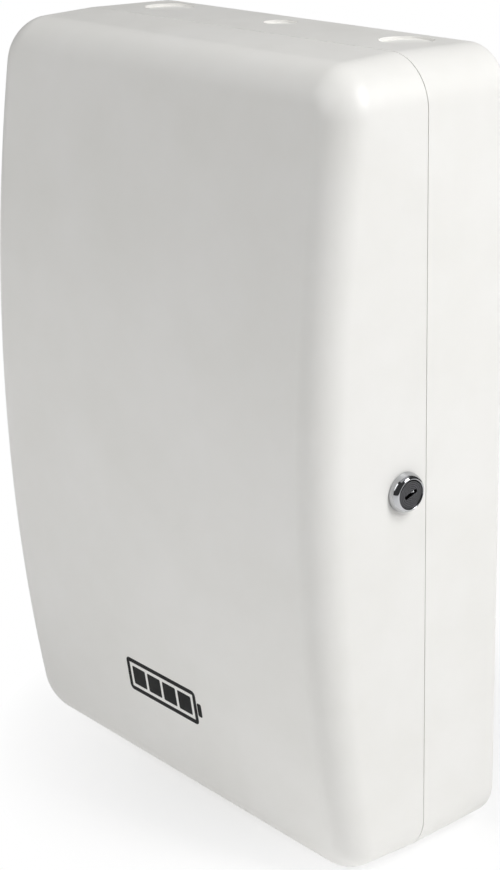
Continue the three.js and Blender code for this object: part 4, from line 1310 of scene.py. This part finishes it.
def makeCoil():
    coil = chargerParts["coil"]
    centre = at(*coil["centre"])
    r, t = coil["ring"], coil["loop"] - coil["wire"]
    core = lathe("core", [
        (r - t, -t + 1.4), (r - t + 1.4, -t), (r + t - 1.4, -t), (r + t, -t + 1.4),
        (r + t, t - 1.4), (r + t - 1.4, t), (r - t + 1.4, t), (r - t, t - 1.4),
    ], aim(centre, outward), 64)
    loopRadius = coil["loop"] + 0.05
    pickNone()
    bpy.ops.mesh.primitive_torus_add(
        major_radius=mm(loopRadius), minor_radius=mm(coil["wire"]), major_segments=24, minor_segments=8,
    )
    loop = bpy.context.object
    places = []
    for i in range(coil["turns"]):
        angle = math.radians(25) + i * math.radians(310) / (coil["turns"] - 1)
        spoke = Vector((math.cos(angle), 0, math.sin(angle)))
        places.append(aim(centre + spoke * mm(r), Vector((-spoke.z, 0, spoke.x))))
    loops = [paint(each, enamelledCopper) for each in copiesAt(loop, places)]
    complete(joinAll("coil", [paint(core, ferrite), *loops]), None, "base", ["inductor"], 40, "ferrite")


def makeChargerBoard():
    refine("charger_board", boardMask, 0.12)
    pads = []
    for i in (1, 2, 3, 4):
        x, _, z = middleOf(f"board_screw_{i}")
        ring = [(1.95, 0), (3.7, 0), (3.7, 0.06), (1.95, 0.06)]
        pads.append(lathe("ring", ring, onBoardFrame(x * 1000, z * 1000), 36))
    dot = lathe("joint", [(0, 0), (0.95, 0), (0.7, 0.25), (0.4, 0.65), (0, 0.8)], steps=12)
    spots = [(x, 56 + 3 * (i % 2)) for i, x in enumerate(chargerParts["jointRow"])]
    spots += [(x, z) for x in (12, 20, 28, 60, 68, 76) for z in (134, 136.6)]
    pads += copiesAt(dot, [onBoardFrame(x, z) for x, z in spots])
    complete(joinAll("boardPads", pads), tinnedBrass, slot="tinned_lead")
    lines = []
    wide = chargerParts["frameLine"]
    for x0, z0, x1, z1 in chargerParts["frames"]:
        for left, low, right, high in ((x0, z0, x1, z0 + wide), (x0, z1 - wide, x1, z1),
                                       (x0, z0, x0 + wide, z1), (x1 - wide, z0, x1, z1)):
            start, end = at(left, boardFace - 0.04, low), at(right, boardFace + 0.02, high)
            lines.append(block("line", start, end, 0.01, 1))
    for x, z, r in chargerParts["rings"]:
        ring = [(r, 0), (r + wide, 0), (r + wide, 0.04), (r, 0.04)]
        lines.append(lathe("ring", ring, onBoardFrame(x, z), 72))
    complete(joinAll("boardLegend", lines), legendInk, slot="nylon")
    for i, (x, z, length, width, legs) in enumerate(chargerParts["chips"]):
        chip = chipShape(length, width, legs)
        chip.data.transform(onBoardFrame(x, z))
        chip.name = f"chip{i + 1}"
        complete(chip, slot="terminal_black")
    for name, shape, places, slot in (
        ("chipResistors", resistorShape, "resistors", "terminal_black"),
        ("diodes", diodeShape, "diodes", "terminal_black"),
        ("smallCapacitors", smallCan, "smallCans", "capacitor_sleeve"),
    ):
        spots = [onBoardFrame(x, z) for x, z in chargerParts[places]]
        complete(joinAll(name, copiesAt(shape(), spots)), slot=slot)
    for x, z, colour in chargerParts["lamps"]:
        lamp = lampShape(lampPlastics[colour])
        lamp.name = colour + "Lamp"
        lamp.data.transform(onBoardFrame(x, z))
        complete(lamp, slot="red_plastic" if colour == "red" else "terminal_green")
    film = block("filmCapacitor", at(-4.6, -9, 0.3), at(4.6, 9, 11), 0.5, 3)
    film.data.transform(onBoardFrame(13, 115))
    complete(film, amberBox, slot="fuse_amber")
    for i, (x, z, radius, height) in enumerate(chargerParts["filterCans"]):
        can = canShape(radius, height, sleevePvc)
        can.data.transform(aim(at(x, boardFace - 0.3, z), outward))
        can.name = f"filterCapacitor{i + 1}"
        complete(can, None, "base", [f"filter_capacitor_{i + 1}"], 35, "capacitor_sleeve")
    trimmer = block("trimmer", at(-3.3, -3.3, 0.2), at(3.3, 3.3, 4.6), 0.3)
    cutAway(trimmer, rod("well", mm(1.6), at(0, 0, 3.9), at(0, 0, 6), 32))
    dial = lathe("dial", [(0, 3.7), (1.5, 3.7), (1.5, 4.3), (0, 4.3)], steps=32)
    cutAway(dial, block("slot", at(-1.2, -0.22, 4), at(1.2, 0.22, 6), 0))
    trimmer = joinAll("trimmer", [paint(trimmer, relayPlastic), paint(dial, tinnedBrass)])
    trimmer.data.transform(onBoardFrame(48, 97))
    complete(trimmer, slot="relay_blue")


def makePowerParts():
    refine("heat_sink", extrudedAluminium, 0.2)
    body = paint(block("body", at(9.5, -31, 145), at(13.7, -21.5, 155), 0.4), chipEpoxy)
    tab = paint(block("tab", at(12.6, -37, 145.2), at(13.8, -21.6, 154.8), 0.2), tinnedBrass)
    legs = [paint(block("leg", at(11.2, -21.7, z - 0.35), at(11.7, -12.7, z + 0.35), 0.1), tinnedBrass)
            for z in (147.5, 150, 152.5)]
    screw = paint(screwShape(2.6, 1.6, 1.2, 1.1), screwSteel)
    screw.data.transform(aim(at(12.5, -34, 150), (-1, 0, 0)))
    complete(joinAll("powerTransistor", [body, tab, *legs, screw]), slot="terminal_black")
    low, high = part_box("relay")
    foot = block("relayFoot", Vector((low.x, high.y - mm(2), low.z)), high, 0.3)
    hood = block("relayHood", low, Vector((high.x, high.y - mm(2.2), high.z)), 0.9, 3)
    corner = Vector((low.x + mm(3), low.y + mm(0.5), high.z - mm(3)))
    nib = [(0, -0.5), (1.1, -0.5), (1.1, 0.25), (0.8, 0.45), (0, 0.45)]
    nib = paint(lathe("nib", nib, aim(corner, outward), 20), relayPlastic)
    relay = joinAll("relay", [paint(foot, blackPolyamide), paint(hood, relayPlastic), nib])
    complete(relay, None, "base", ["relay"], 35, "relay_blue")
    refine("fuse_holder", blackPolyamide, 0.3)
    fuse = refine("blade_fuse", amberPlastic, 0.35)
    paint(fuse, tinnedBrass, lambda face: face.center.y > mm(-21.45))
    for name in ("input", "output", "signal"):
        refine(name + "_terminal_block", greenPolyamide, 0.2)
    screw = lathe("terminalScrew", [(0, 0), (1.55, 0), (1.55, 1.0), (1.35, 1.25), (0, 1.25)], steps=24)
    cutAway(screw, block("slot", at(-2, -0.2, 0.7), at(2, 0.2, 2), 0))
    poles = [9 + 10 * i for i in range(2)] + [30.5 + 5 * i for i in range(4)]
    poles += [82.5 + 5 * i for i in range(6)]
    turns = [Matrix.Rotation(0.5 + 1.1 * i, 4, "Z") for i in range(len(poles))]
    spots = [aim(at(x, -20.25, 48.5), outward) @ turn for x, turn in zip(poles, turns)]
    complete(joinAll("boardTerminalScrews", copiesAt(screw, spots)), screwSteel, slot="steel")
    refine("battery_plug", naturalNylon, 0.5)


makeChargerBoard()
makePowerParts()
makeCoil()
print("charger board made")

# the tamper switch's spring, closer wound at both ends
tamperSpring = {
    "radius": 3.2, "wire": 0.36, "turns": 8.5, "from": -43.3, "to": -25.7, "stepsPerTurn": 20, "closer": 0.09,
}


def makeSpring():
    x, _, z = (value * 1000 for value in middleOf("tamper_plunger"))
    spring = tamperSpring
    steps = int(spring["turns"] * spring["stepsPerTurn"])
    path = []
    for i in range(steps + 1):
        share = i / steps
        angle = share * spring["turns"] * 2 * math.pi
        along = share - spring["closer"] * math.sin(2 * math.pi * share)
        y = spring["from"] + (spring["to"] - spring["from"]) * along
        path.append(at(x + spring["radius"] * math.cos(angle), y, z + spring["radius"] * math.sin(angle)))
    piece = tube("tamperCoil", path, mm(spring["wire"]), 2)
    complete(piece, springSteel, "base", ["tamper_spring"], 60, "steel")
    at(x, spring["to"], z)
    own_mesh(piece)


makeSpring()
refine("tamper_switch_body", blackPolyamide, 0.3)
refine("tamper_plunger", naturalNylon, 0.35)
refine("test_button_body", blackPolyamide, 0.3)
refine("test_button_cap", redPlastic, 0.4)

# turned, stamped and moulded parts that keep their CAD shape
for pin in hinge["pins"]:
    refine(pin, screwSteel, 0.3)
for part, edge in (("lock_nut", 0.4), ("lock_cam", 0.25), ("lock_strike", 0.3)):
    refine(part, zincSheet, edge)
for i in (1, 2, 3, 4):
    refine(f"board_pillar_{i}", naturalNylon, 0.3)
print("all pieces made")
